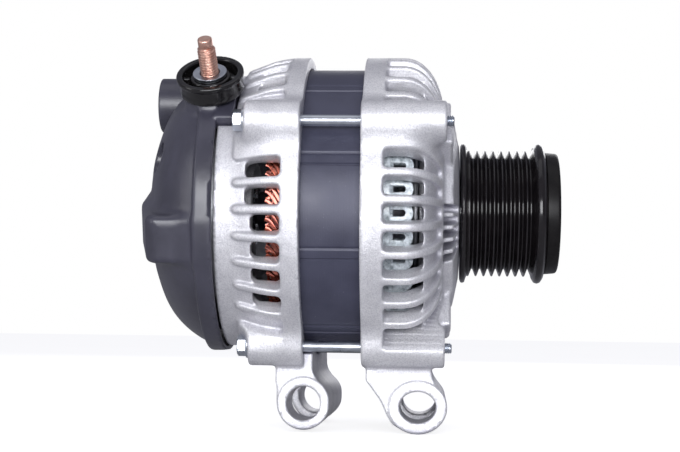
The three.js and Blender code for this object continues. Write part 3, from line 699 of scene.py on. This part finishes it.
def half_opening(block, windows, crest, quarter):
    """Half the width of a window between parallel ribs, narrower below the crest by its draft."""
    pitch = math.radians(windows["pitch"]) * block.r
    half = (pitch - windows["rib"]) / 2 - np.maximum(-crest, 0) * WINDOW_DRAFT
    return np.where(quarter == BOTTOM_QUARTER, CLOSED, half)


def slot(block, offset, half_width, start, end, edge):
    """A slot along X, rounded at its ends."""
    return extruded(np.abs(offset) - half_width, between(block.x, start, end), edge)


def bolt_bosses(block, start, ends):
    bosses = np.inf
    for angle, end in zip(BOLT_ANGLES, ends):
        bosses = np.minimum(bosses, block.rod(polar(BOLT_CIRCLE, angle), BOSS_RADIUS, start, end, 1.2))
    return bosses


def hollowed(block, shell, room, hub, seat):
    """The shell with its room cut out, a hub standing in it and the bearing's seat cut into the hub."""
    shell = joined(cut(shell, block.turned(room), 0.4), block.turned(hub), 1.0)
    return cut(shell, block.turned(seat), 0.4)


def drilled(block, field, circle, angles, radius, start, end):
    """The field with holes along X."""
    for angle in angles:
        field = cut(field, block.rod(polar(circle, angle), radius, start, end), 0.6)
    return field


def lug(block, place, arm):
    """An arm and its ring, in two ears joined by a wall on the pulley side."""
    x, z, (half_x, half_z) = place["x"], place["z"], place["half"]
    ring = ellipse_distance(block.x - x, block.z - z, half_x, half_z)
    flat = joined(ring, outline_distance(arm, block.x[:, 0], block.z[:, 0])[:, None, :], 5)
    machined = 0.8
    blank = block.prism_y(flat, LUG_NEAR + machined, LUG_FAR - machined, 0.7)
    blank = joined(blank, block.prism_y(ring, LUG_NEAR, LUG_FAR, 0.6), 0.3)
    wall, pocket_length = 4.2, 40
    pocket_end = x + half_x - wall
    pocket_x = between(block.x, pocket_end - pocket_length, pocket_end)
    pocket = block.prism_y(extruded(pocket_x, between(block.z, z - 30, z + 6), 3), *LUG_POCKET, 2)
    blank = cut(blank, pocket, 1.5)
    blank = common(blank, outline_distance(LUG_SIDE, block.y, block.z), 1)
    bore = ellipse_distance(block.x - x, block.z - z, *place["bore"])
    return blank, bore


def front_bracket():
    block = Block((SPLIT_X, FRONT_NOSE), (-BODY_RADIUS - 9, BODY_RADIUS + 9), (-98, 79), VOXEL)
    shoulder = arc((29.7, 43), (17.4, 26.5), 90, 0, 20)
    crest = block.turned([(SPLIT_X, BODY_RADIUS), *shoulder])
    sunk = 2.6
    floor = crest + sunk
    offset, _, quarter = window_offsets(block, FRONT_WINDOWS)
    half = half_opening(block, FRONT_WINDOWS, crest, quarter)
    channels = common(slot(block, offset, half, 22.1, 70, 1.6), 48 - block.r, 2.5)
    shell = joined(crest, bolt_bosses(block, SPLIT_X, FRONT_BOSS_ENDS), 8)
    shell = joined(cut(shell, channels, 1.2), floor, 0.9)
    openings = slot(block, offset, half - 0.25, 22.1, 38.7, 2.0)
    shell = cut(shell, np.maximum(openings, 46 - block.r), 0.5)
    arm = [(14.3, -60), (14.3, -75), (27, -92), (37, -92), (42.7, -76), (42.7, -60)]
    lug_blank, lug_bore = lug(block, FRONT_LUG, arm)
    shell = joined(shell, lug_blank, 1.6)
    shell = joined(shell, front_nose(block), 1.2)
    room = [(0, 64.3), (18.3, 64.3), (18.3, 62.5), (31, 62.2), (38.5, 57), (43, 44)]
    seat = [(30, 23.7), (50.7, 23.7), (50.7, 14), (60, 14)]
    shell = hollowed(block, shell, room, [(36.4, 32), (44, 32)], seat)
    shell = cut(shell, front_vents(block), 0.6)
    shell = drilled(block, shell, BOLT_CIRCLE, BOLT_ANGLES, 3.0, 0, max(FRONT_BOSS_ENDS) + 1)
    shell = drilled(block, shell, 27.6, [45, 135, 225, 315], 1.9, 36, 46.5)
    shell = cut(shell, block.prism_y(lug_bore, -60, 80), 0.7)
    shell = common(shell, SPLIT_X - block.x, 0.3)
    from_field("front_bracket", block, shell)


def front_nose(block):
    """The raised carrier of the front bearing, with ribs that run out to the shoulder."""
    carrier = block.turned([(40, 45), (47, 44.5), (51.2, 42.6), (51.8, 40.5), (54, 29.5)])
    for angle in BOLT_ANGLES:
        carrier = joined(carrier, block.radial_box(angle, (40, 50.6), (20, 60), 4.2, 1.2), 2.5)
    pad = block.radial_box(257, (40, 50.4), (30, 57), 7, 2)
    return joined(carrier, pad, 1.5)


def front_vents(block):
    """Groups of narrow radial air slots, one group between each pair of ribs."""
    turn = (block.angle - BOLT_ANGLES[0]) % 90 - 45
    offset = arc_offset(block, turn, pitch=7.2, first=-2, last=2)
    return np.maximum(rounded_box(offset, block.r - 38.2, 1.7, 7.6, 1.5), 38 - block.x)


def rear_bracket():
    block = Block((REAR_BACK, -1), (-BODY_RADIUS - 9, BODY_RADIUS + 9), (-98, 79), VOXEL)
    crest_slope = smooth_curve([(-20, BODY_RADIUS), (-27, 68.3), (-34, 65.9), (-42, 62.9)])
    crest = block.turned([(-SPLIT_X, BODY_RADIUS), *crest_slope, (-60, 58)])
    floor_slope = smooth_curve([(-20, 66.8), (-30, 65.0), (-38, 62.3), (-43, 61.2)])
    floor = block.turned([(-SPLIT_X, 66.8), *floor_slope, (REAR_BACK, 61.2)])
    offset, number, quarter = window_offsets(block, REAR_WINDOWS)
    half = half_opening(block, REAR_WINDOWS, crest, quarter)
    sunk_band = block.x + 41.2
    channels = joined(slot(block, offset, half, -20.5, -70, 1.8), sunk_band, 3.2)
    shell = joined(crest, bolt_bosses(block, REAR_BOSS_END, [-SPLIT_X] * len(BOLT_ANGLES)), 8)
    far_boss = block.rod(polar(BOLT_CIRCLE, BOLT_ANGLES[3]), BOSS_RADIUS, REAR_BOSS_END, -7.5, 2.5)
    shell = joined(cut(shell, channels, 1.2), floor, 0.9)
    half_open = np.where(number == REAR_WINDOWS["count"] - 1, CLOSED, half - 0.25)
    long_ones = slot(block, offset, half_open, -20.5, -35.4, 2.0)
    openings = np.where(number < 2, long_ones, slot(block, offset, half_open, -20.5, -32.9, 2.4))
    shell = cut(shell, np.maximum(openings, 46 - block.r), 0.5)
    arm = [(-24.5, -60), (-24.5, -76), (-20, -86), (-12, -90), (-8.5, -84), (-8.5, -60)]
    lug_blank, lug_bore = lug(block, REAR_LUG, arm)
    shell = joined(shell, lug_blank, 1.6)
    shell = common(shell, block.x + SPLIT_X, 0.3)
    shell = joined(joined(shell, far_boss, 0.8), common(lug_blank, block.x + 1.2, 0.5))
    room = [(0, 64.3), (-18.3, 64.3), (-18.3, 62.5), (-30, 61.5), (-44, 53.4)]
    seat = [(-30, 16.1), (-48.3, 16.1), (-48.3, 9), (-60, 9)]
    shell = hollowed(block, shell, room, [(-37.5, 21.5), (-45, 21.5)], seat)
    shell = cut(shell, rear_vents(block), 0.6)
    shell = drilled(block, shell, BOLT_CIRCLE, BOLT_ANGLES, 3.0, REAR_BOSS_END - 1, 0)
    shell = drilled(block, shell, STUD_CIRCLE, STUD_ANGLES, 2.7, -50, -43)
    shell = cut(shell, block.prism_y(lug_bore, -60, 80), 0.7)
    shell = cut(shell, terminal_rod(block, GUARD["bush"] + 0.6, -32, 0), 0.3)
    notch = TERMINAL_NOTCH
    notch_box = block.radial_box(notch["angle"], notch["x"], notch["radii"], notch["half_width"], 1)
    shell = cut(common(shell, REAR_BACK - block.x, 0.6), notch_box, 0.6)
    from_field("rear_bracket", block, shell)


def rear_vents(block):
    """Wide openings round the rear bearing."""
    first, pitch, half_sweep = 36, 40, 13
    turn = (block.angle - first) % pitch - half_sweep
    offset = np.radians(turn) * block.r
    flat = rounded_box(offset, block.r - 36, np.radians(half_sweep) * block.r, 11, 2)
    return np.maximum(flat, block.x + 42)


# ---- stator


def stator_core():
    """Stacked laminations with weld strips along them, and slots that open into the bore."""
    points_round = 960
    degrees = np.degrees(even_turns(points_round))
    first_weld, weld_pitch, half_weld, groove = 164.5, 36, 1.75, 0.22
    beside = np.abs((degrees - first_weld + weld_pitch / 2) % weld_pitch - weld_pitch / 2)
    outer = CORE_RADIUS - groove * np.clip((beside - half_weld) / 0.25, 0, 1) * (beside < 2.6)
    outer -= groove * (beside >= half_weld) * (beside < 2.4)
    slot_pitch, half_slot = 15, 3.1
    inner = np.where(np.abs(degrees % slot_pitch - slot_pitch / 2) < half_slot, 60.4, 54)
    edge = 0.35
    outside = [
        (-CORE_END, outer - edge),
        (-CORE_END + edge, outer),
        (CORE_END - edge, outer),
        (CORE_END, outer - edge),
    ]
    shape = Shape().rings([*outside, (CORE_END, inner), (-CORE_END, inner)])
    from_shape("stator_core", shape)


def bar_section(width, thickness):
    u, v = width / 2, thickness / 2
    return filleted([(-u, -v), (u, -v), (u, v), (-u, v)], 0.4, 2)


def outward(p):
    return (0, p[1], p[2])


def rear_end_turns():
    """Two layers of bars at the rear, which lean opposite ways."""
    bars, lean, root, reach = 96, 11, -17.5, 9.6
    shape = Shape()
    for i in range(bars):
        for radius, sweep in ((58.9, -lean), (56.5, lean)):
            path = []
            for t in np.linspace(0, 1, 9):
                ease = t * t * (3 - 2 * t)
                path.append((root - reach * t, *polar(radius, 360 * i / bars + sweep * ease)))
            shape.swept(path, bar_section(1.9, 1.7), outward)
    from_shape("stator_winding", shape, finish="enamelled_wire")


def front_end_turns():
    """Loops dipped in resin at the front, on a ring of it. They are a second piece of the winding."""
    loops, first, radius, half = 37, 0.1, 57.4, 2.95
    leg = [(half, 28.5), (half, 22), (half, 17.5)]
    tip = [(-half * math.cos(t), 30 + 2.8 * math.sin(t)) for t in np.linspace(0, math.pi, 9)]
    loop = [(-s, x) for s, x in leg[::-1]] + tip + leg
    shape = Shape()
    for i in range(loops):
        centre = 360 * i / loops + first
        path = [(x, *polar(radius, centre + math.degrees(s / radius))) for s, x in loop]
        shape.swept(path, bar_section(3.3, 3.6), outward)
    fill = [(18.5, 55.2), (18.5, 59.6), (24.5, 59.4), (26, 58.2), (26, 56.4), (24.5, 55.2)]
    shape.turned(filleted(fill, 0.8), 144)
    piece = shape_object("stator_winding_front", shape, MATERIALS["winding_resin"])
    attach(piece, NODE_BODY["stator_winding"])


# ---- fasteners


def hexagon(turn, across_flats):
    """Radius of a hexagon at an angle."""
    sixth = math.pi / 3
    return across_flats / 2 / np.cos((turn + sixth / 2) % sixth - sixth / 2)


def thread(x, turn, radius, pitch, depth):
    """Radius of a screw thread with rounded crests."""
    phase = (x / pitch - turn / (2 * math.pi)) % 1
    return radius - depth * (0.5 + 0.5 * np.cos(2 * math.pi * phase)) ** 0.8


def through_bolt(index):
    """A long M5 bolt: a flanged hexagon head at the rear and a thread at the front."""
    node = f"through_bolt_{index + 1}"
    head, tip = span(node, 0)
    seat = REAR_BOSS_END - 0.3
    smooth_end = FRONT_BOSS_ENDS[index] - 4
    move = Matrix.Translation((0, *polar(BOLT_CIRCLE, BOLT_ANGLES[index])))

    def head_radius(x, turn):
        hexed = hexagon(turn, SPANNER)
        if x > seat - 0.5:
            return 5.4
        if x > seat - 1.0:
            return np.maximum(hexed, 5.2)
        return np.minimum(hexed, 3.9 + (x - head) * 1.6)

    def shank_radius(x, turn):
        if x == tip:
            return 1.7
        if x < smooth_end:
            return M5_RADIUS
        run_in = min(1, x - smooth_end)
        return thread(x, turn, M5_RADIUS, 0.8, 0.42 * run_in)

    head_rings = [head, head + 0.25, head + 0.5, seat - 1.1, seat - 0.9, seat - 0.35, seat]
    shank_rings = [seat - 0.6, *np.arange(smooth_end, tip - 0.6, 0.1), tip - 0.5, tip]
    shape = Shape().relief(head_rings, head_radius, 72, move).relief(shank_rings, shank_radius, 40, move)
    from_shape(node, shape, 40)


def cover_nut(index):
    node = f"cover_nut_{index + 1}"
    low, high = span(node, 0)
    turn = even_turns(72)
    bore = np.full(len(turn), 2.7)
    rings = []
    for x in (low, low + 0.3, low + 0.55, high - 0.5, high):
        chamfer = 3.9 + 1.6 * min(x - low, high - x + 0.4)
        rings.append((x, np.minimum(hexagon(turn, SPANNER), chamfer)))
    shape = Shape().rings([*rings, (high, bore), (low, bore)], stud_place(index))
    from_shape(node, shape, 40)


def cover_stud(index):
    node = f"cover_stud_{index + 1}"
    low, high = span(node, 0)

    def radius(x, turn):
        if x == low:
            return 1.8
        return thread(x, turn, M5_RADIUS, 0.8, 0.4) if x < low + 9.9 else 2.3

    stations = [low, low + 0.5, *np.arange(low + 0.6, low + 10, 0.1), high]
    shape = Shape().relief(stations, radius, 40, stud_place(index))
    from_shape(node, shape, 40)


def stud_place(index):
    return Matrix.Translation((0, *polar(STUD_CIRCLE, STUD_ANGLES[index])))


# ---- pulley


def pulley_ring():
    low, high = span("pulley_ring", 0)
    flange = span("pulley_ring", 2)[1]
    pitch, first, crest, root, grooves = 3.56, low + 5.6, 28.6, 25.3, 8
    half = pitch / 2
    # Each corner of the profile is its x, its radius and the radius of its fillet.
    rear = [
        (low, 20.2, 0), (low, 30.2, 0.3), (low + 0.5, flange - 0.25, 0.4), (low + 1.3, flange, 0.5),
        (low + 2.2, flange - 0.4, 0.4), (low + 2.7, 29.6, 0.4), (low + 3.2, 28.4, 0.3),
        (first - half - 0.25, crest, 0.35), (first - half + 0.25, crest, 0.35),
    ]
    ribs = []
    for i in range(grooves):
        x = first + i * pitch
        ribs += [(x - 0.22, root, 0.25), (x + 0.22, root, 0.25)]
        ribs += [(x + half - 0.3, crest, 0.4), (x + half + 0.3, crest, 0.4)]
    front = [
        (x + half - 0.1, crest, 0.4), (87, 29.6, 0.8), (88, 31.3, 0.8), (89.4, flange, 1), (90.6, 31.2, 0.8),
        (91.6, 29.6, 0.6), (high, 28.2, 0.2), (high, 25, 0.3), (87, 25, 0.2), (87, 20.2, 0.2),
    ]
    shape = turned_from_corners([*rear, *ribs[:-2], *front], 3, 192)
    from_shape("pulley_ring", shape, 45)


def turned_from_corners(corners, steps, segments):
    outline = filleted([(x, r) for x, r, _ in corners], [fillet for _, _, fillet in corners], steps)
    return Shape().turned(outline[::-1], segments)


def pulley_cap():
    low, high = span("pulley_cap", 0)
    rim = span("pulley_cap", 2)[1]
    seat = span("pulley_ring", 0)[1] + 0.2
    dish, inside = high - 0.9, high - 2.6
    corners = [
        (low, 24.6, 0.2), (seat, 24.6, 0.1), (seat, rim, 0.5), (high - 0.2, rim - 0.5, 1.6), (high, 21, 0.8),
        (dish, 20, 0.6), (dish, 11, 0.6), (high - 0.2, 10, 0.4), (high - 0.2, 0.01, 0), (inside, 0.01, 0),
        (inside, 22.2, 0.5), (low, 22.2, 0.2),
    ]
    shape = turned_from_corners(corners, 5, 160)
    from_shape("pulley_cap", shape, 45, "cap_plastic")


# ---- rear cover and socket

COVER_DOME = [
    (-57.3, 60.4), (-60.5, 58.8), (-64.5, 56.3), (-68.6, 53), (-72.5, 48.8), (-75.6, 44), (-78, 38.6),
    (-80.3, 32.2), (-81.8, 25), (-82.8, 17), (-83.5, 8), (-83.8, -2),
]
COVER_EDGE = -49.3


def rear_cover():
    """Moulded cover: a dome on a stepped skirt, with a bump over the brushes and pads for the terminals."""
    block = Block((-86, -40), (-66, 66), (-66, 76), VOXEL)
    skirt = [(-30, 63.5), (-56.4, 63.5), (-57.1, 62.9)]
    solid = block.turned([*skirt, *smooth_curve(COVER_DOME, 4)])
    solid = joined(solid, brush_bump(block), 5)
    terminal_pad = terminal_rod(block, 12.5, -24, -GUARD["height"] - 0.3, 1.0)
    solid = joined(solid, terminal_pad, 3)
    socket_pad = block.rod((SOCKET["y"], SOCKET["z"]), SOCKET["radius"] + 1.6, -66, -50, 1)
    solid = joined(solid, np.maximum(socket_pad, block.x + 56), 3)
    solid = common(solid, span("rear_cover", 0)[0] + 0.2 - block.x, 0.6)
    wall = 2.0
    shell = np.maximum(solid, -(solid + wall))
    shell = common(shell, block.x - COVER_EDGE, 0.5)
    notch, clear = TERMINAL_NOTCH, 0.7
    foot_x = (notch["x"][0] - 1, notch["x"][1] - clear)
    foot = block.radial_box(notch["angle"], foot_x, (56, 62.8), notch["half_width"] - clear, 1)
    shell = joined(shell, foot, 0.6)
    for angle in STUD_ANGLES:
        centre = polar(STUD_CIRCLE, angle)
        shell = joined(shell, common(block.rod(centre, 8.4, -82, NUT_PAD_FOOT, 0.5), solid), 0.5)
        shell = cut(shell, block.rod(centre, 6.4, -95, NUT_SEAT), 0.8)
        shell = cut(shell, block.rod(centre, 3.0, -95, -60), 0.3)
    shell = cut(shell, cover_vents(block), 0.8)
    shell = cut(shell, block.rod((SOCKET["y"], SOCKET["z"]), SOCKET["radius"] + 0.3, -95, -45), 0.3)
    shell = cut(shell, terminal_rod(block, GUARD["bush"] + 0.6, -40, 5), 0.3)
    from_field("rear_cover", block, shell)


def brush_bump(block):
    """A rounded box over the brushes, flat on its near side and sloped at its back."""
    out, across = turned_axes(block, BUMP_ANGLE)
    flat = outline_distance(filleted(BUMP["outline"], 3), block.x, out)
    return extruded(flat, np.abs(across) - BUMP["half_width"], 3)


def cover_vents(block):
    """Rows of short slots on the back of the dome, clear of the brushes."""
    offset = arc_offset(block, (block.angle - BUMP_ANGLE) % 360, pitch=12, first=4, last=26)
    return np.maximum(rounded_box(offset, block.r - 23, 1.5, 7, 1.4), block.x + 76)


def plug_socket():
    """A round socket with a key slot at the top of its mouth and four blades on its floor."""
    block = Block((-83, -50), (-10, 18), (35, 63), FINE_VOXEL)
    y, z, floor = block.y - SOCKET["y"], block.z - SOCKET["z"], SOCKET["floor"]
    radius = np.hypot(y, z)
    body = block.prism_x(radius - SOCKET["radius"], *span("plug_socket", 0), 0.6)
    bore = np.maximum(radius - SOCKET["bore"], block.x - floor)
    key = np.maximum(rounded_box(y, z - 10, 2, 1.6, 0.4), block.x + 70)
    body = cut(body, joined(bore, key, 0.3), 0.4)
    for offset in (-4.5, -1.5, 1.5, 4.5):
        blade = rounded_box(y, z - offset, 1.2, 0.4, 0.1)
        body = joined(body, block.prism_x(blade, floor - 9, floor + 1, 0.1))
    from_field("plug_socket", block, body)


# ---- battery terminal


def terminal_matrix():
    """From the terminal's own frame, whose +X points out of the guard, to the core frame."""
    lean = Matrix.Rotation(math.radians(90 + TERMINAL["lean"]), 4, "Z")
    swing = Matrix.Rotation(math.radians(TERMINAL["angle"]), 4, "X")
    centre = (TERMINAL["x"], *polar(TERMINAL["face"], TERMINAL["angle"]))
    return Matrix.Translation(centre) @ swing @ lean


def terminal_frame(block):
    """Each voxel's place in the terminal's own frame, and its distance from the stud's axis."""
    back = np.array(terminal_matrix().inverted())
    u, v, w = (x * block.x + y * block.y + z * block.z + shift for x, y, z, shift in back[:3])
    return u, v, w, np.hypot(v, w)


def terminal_rod(block, radius, start, end, edge=0.0):
    u, _, _, r = terminal_frame(block)
    return extruded(r - radius, between(u, start, end), edge)


def terminal_guard():
    """Insulating ring: an outer rim, an inner collar under the washer, and webs between them."""
    block = Block(*(span("terminal_guard", axis) for axis in range(3)), FINE_VOXEL)
    u, v, w, r = terminal_frame(block)

    def tube(inner, outer, start, end, edge):
        return extruded(between(r, inner, outer), between(u, start, end), edge)

    bore, wall = 4.8, GUARD["radius"] - 1
    rim, foot = GUARD["radius"] - GUARD["rim"], -GUARD["height"]
    body = tube(rim, GUARD["radius"], -2.2, 0, 0.8)
    body = joined(body, tube(rim, wall, foot - 0.2, -1, 0.3), 0.6)
    body = joined(body, tube(bore, GUARD["collar"], foot, -1.6, 0.7), 0.5)
    body = joined(body, tube(bore, wall, foot, foot + 2, 0.3), 0.8)
    body = joined(body, tube(bore, GUARD["bush"], -GUARD["depth"], foot + 1, 0.3), 0.3)
    for across in (v, w):
        web = corner(np.abs(across) - 0.9, between(r, 7.5, 12.5))
        body = joined(body, np.maximum(web, between(u, -8.4, -2.4)), 0.8)
    from_field("terminal_guard", block, body)


def terminal_washer():
    profile = filleted([(-1.3, 4.3), (0.3, 4.3), (0.3, 7.3), (-1.3, 7.3)], 0.3, 3)
    shape = Shape().turned(profile, 96, terminal_matrix())
    from_shape("terminal_washer", shape)


def terminal_stud():
    """Copper-plated M8 stud with a dog point."""
    foot, thread_start, top, radius = -27, 0.3, 16.5, 3.9
    dog = top - 4
    taper = 0.9

    def stud_radius(x, turn):
        if x >= top - 0.3:
            return 2.95 if x < top else 2.6
        if x > dog:
            return 3.1 if x > dog + 0.4 else 2.9
        if x < thread_start:
            return radius
        return thread(x, turn, radius, 1.25, 0.68) * (0.85 + 0.15 * min(1, (dog - x) / taper))

    threaded = np.arange(thread_start + 0.1, dog, 0.1)
    stations = [foot, foot + 0.5, 0.2, *threaded, dog + 0.1, dog + 0.5, top - 0.6, top - 0.2, top]
    shape = Shape().relief(stations, stud_radius, 64, terminal_matrix())
    from_shape("terminal_stud", shape, 85)


# ---- brushes and carried-over nodes


def brush_spring(index):
    """A coil spring behind a brush, with its own copy of the mesh."""
    node = f"brush_spring_{index + 1}"
    x = sum(span(node, 0)) / 2
    foot, height, turns, radius, travel = 24.7, 16.5, 5.5, 1.9, 4
    path = []
    for t in np.linspace(0, 1, 120):
        a = 2 * math.pi * turns * t
        path.append((radius * math.cos(a), foot + height * t, radius * math.sin(a)))
    move = Matrix.Translation((x, 0, 0)) @ Matrix.Rotation(math.radians(BUMP_ANGLE), 4, "X")
    shape = Shape().swept(path, round_section(0.38, 8), lambda p: (p[0], 0, p[2]), move)
    piece = from_shape(node, shape, 60)
    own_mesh(piece)


def carry_over(node):
    """A CAD node that stays: a weld, a small bevel and its own finish."""
    piece = frame["nodes"][node]
    piece.data.materials.clear()
    piece.data.materials.append(MATERIALS[NODE_SLOT[node]])
    for polygon in piece.data.polygons:
        polygon.use_smooth = True
        polygon.material_index = 0
    weld = piece.modifiers.new("weld", "WELD")
    weld.merge_threshold = 1e-6
    bevel = piece.modifiers.new("bevel", "BEVEL")
    bevel.width = 0.25 * MM
    bevel.segments = 2
    bevel.limit_method = "ANGLE"
    bevel.angle_limit = math.radians(35)
    bevel.harden_normals = True


# ---- build

front_bracket()
rear_bracket()
stator_core()
rear_end_turns()
front_end_turns()
rear_cover()
plug_socket()
terminal_guard()
terminal_washer()
terminal_stud()
pulley_ring()
pulley_cap()
for i in range(len(BOLT_ANGLES)):
    through_bolt(i)
for i in range(len(STUD_ANGLES)):
    cover_nut(i)
    cover_stud(i)
for i in range(2):
    brush_spring(i)

stood_for = {name for o in bpy.context.scene.objects for name in o.get("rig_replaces", [])}
for name in frame["nodes"]:
    if name not in stood_for:
        carry_over(name)


# ---- stage, lights and camera


def stage():
    """A plain white floor that fades into the backdrop."""
    level, reach = cad_bounds[0].z, 6.0
    sides = [(-1, -1), (1, -1), (1, 1), (-1, 1)]
    corners = [(reach * x, reach * y, level) for x, y in sides]
    floor_mesh = bpy.data.meshes.new("floor")
    floor_mesh.from_pydata(corners, [], [(0, 1, 2, 3)])
    finish = Finish("floor", specular=0.0)
    cloud = finish.noise(300, detail=2)
    seen = finish.node("ShaderNodeLightPath").outputs["Is Camera Ray"]
    finish.feed(finish.shader.inputs["Emission Color"], (1, 1, 1, 1))
    finish.feed(finish.shader.inputs["Emission Strength"], finish.ramp(seen, 0.0, 0.8, 0, 1))
    floor_mesh.materials.append(finish.done(finish.ramp(cloud, (0.56, 0.56, 0.58), (0.6, 0.6, 0.61)), 0.8))
    floor = bpy.data.objects.new("floor", floor_mesh)
    bpy.context.scene.collection.objects.link(floor)


def soft_box(name, place, size, power, tint=(1, 1, 1)):
    """A rectangular light at a place given in metres from the object's middle, aimed at that middle."""
    lamp = bpy.data.lights.new(name, "AREA")
    lamp.shape = "RECTANGLE"
    lamp.size, lamp.size_y = size
    lamp.energy = power
    lamp.color = tint
    holder = bpy.data.objects.new(name, lamp)
    holder.location = (cad_bounds[0] + cad_bounds[1]) / 2 + Vector(place)
    holder.rotation_euler = (-Vector(place)).to_track_quat("-Z", "Y").to_euler()
    bpy.context.scene.collection.objects.link(holder)


def studio():
    """A white backdrop that lights the object less than it shows, and four soft boxes."""
    scene = bpy.context.scene
    world = bpy.data.worlds.new("studio")
    world.use_nodes = True
    nodes, links = world.node_tree.nodes, world.node_tree.links
    backdrop = nodes["Background"]
    backdrop.inputs["Color"].default_value = (0.84, 0.85, 1.0, 1)
    backdrop.inputs["Strength"].default_value = 0.28
    white = nodes.new("ShaderNodeBackground")
    white.inputs["Color"].default_value = (1, 1, 1, 1)
    choice = nodes.new("ShaderNodeMixShader")
    links.new(nodes.new("ShaderNodeLightPath").outputs["Is Camera Ray"], choice.inputs[0])
    links.new(backdrop.outputs[0], choice.inputs[1])
    links.new(white.outputs[0], choice.inputs[2])
    links.new(choice.outputs[0], nodes["World Output"].inputs["Surface"])
    scene.world = world
    scene.view_settings.view_transform = "Standard"
    soft_box("top", (0.0, -0.2, 0.9), (1.1, 0.6), 1.0)
    soft_box("front", (0.0, -1.3, 0.12), (1.3, 0.5), 18.0, (0.96, 0.97, 1.0))
    soft_box("rear_side", (-0.9, -0.5, 0.25), (0.25, 0.7), 1.2)
    soft_box("far_side", (0.2, 1.2, 0.5), (1.0, 0.5), 3)


def camera():
    """Low on the near side, looking slightly up and to the left."""
    data = bpy.data.cameras.new("camera")
    data.sensor_width = 36
    data.lens = 75.9
    data.clip_start, data.clip_end = 0.05, 20
    holder = bpy.data.objects.new("camera", data)
    holder.location = (CORE_X + 42.1 * MM, -649.6 * MM, -52.9 * MM)
    up, roll, left = 4.08, -0.8, 3.62
    holder.rotation_euler = (math.radians(90 + up), math.radians(roll), math.radians(left))
    bpy.context.scene.collection.objects.link(holder)
    bpy.context.scene.camera = holder


stage()
studio()
camera()
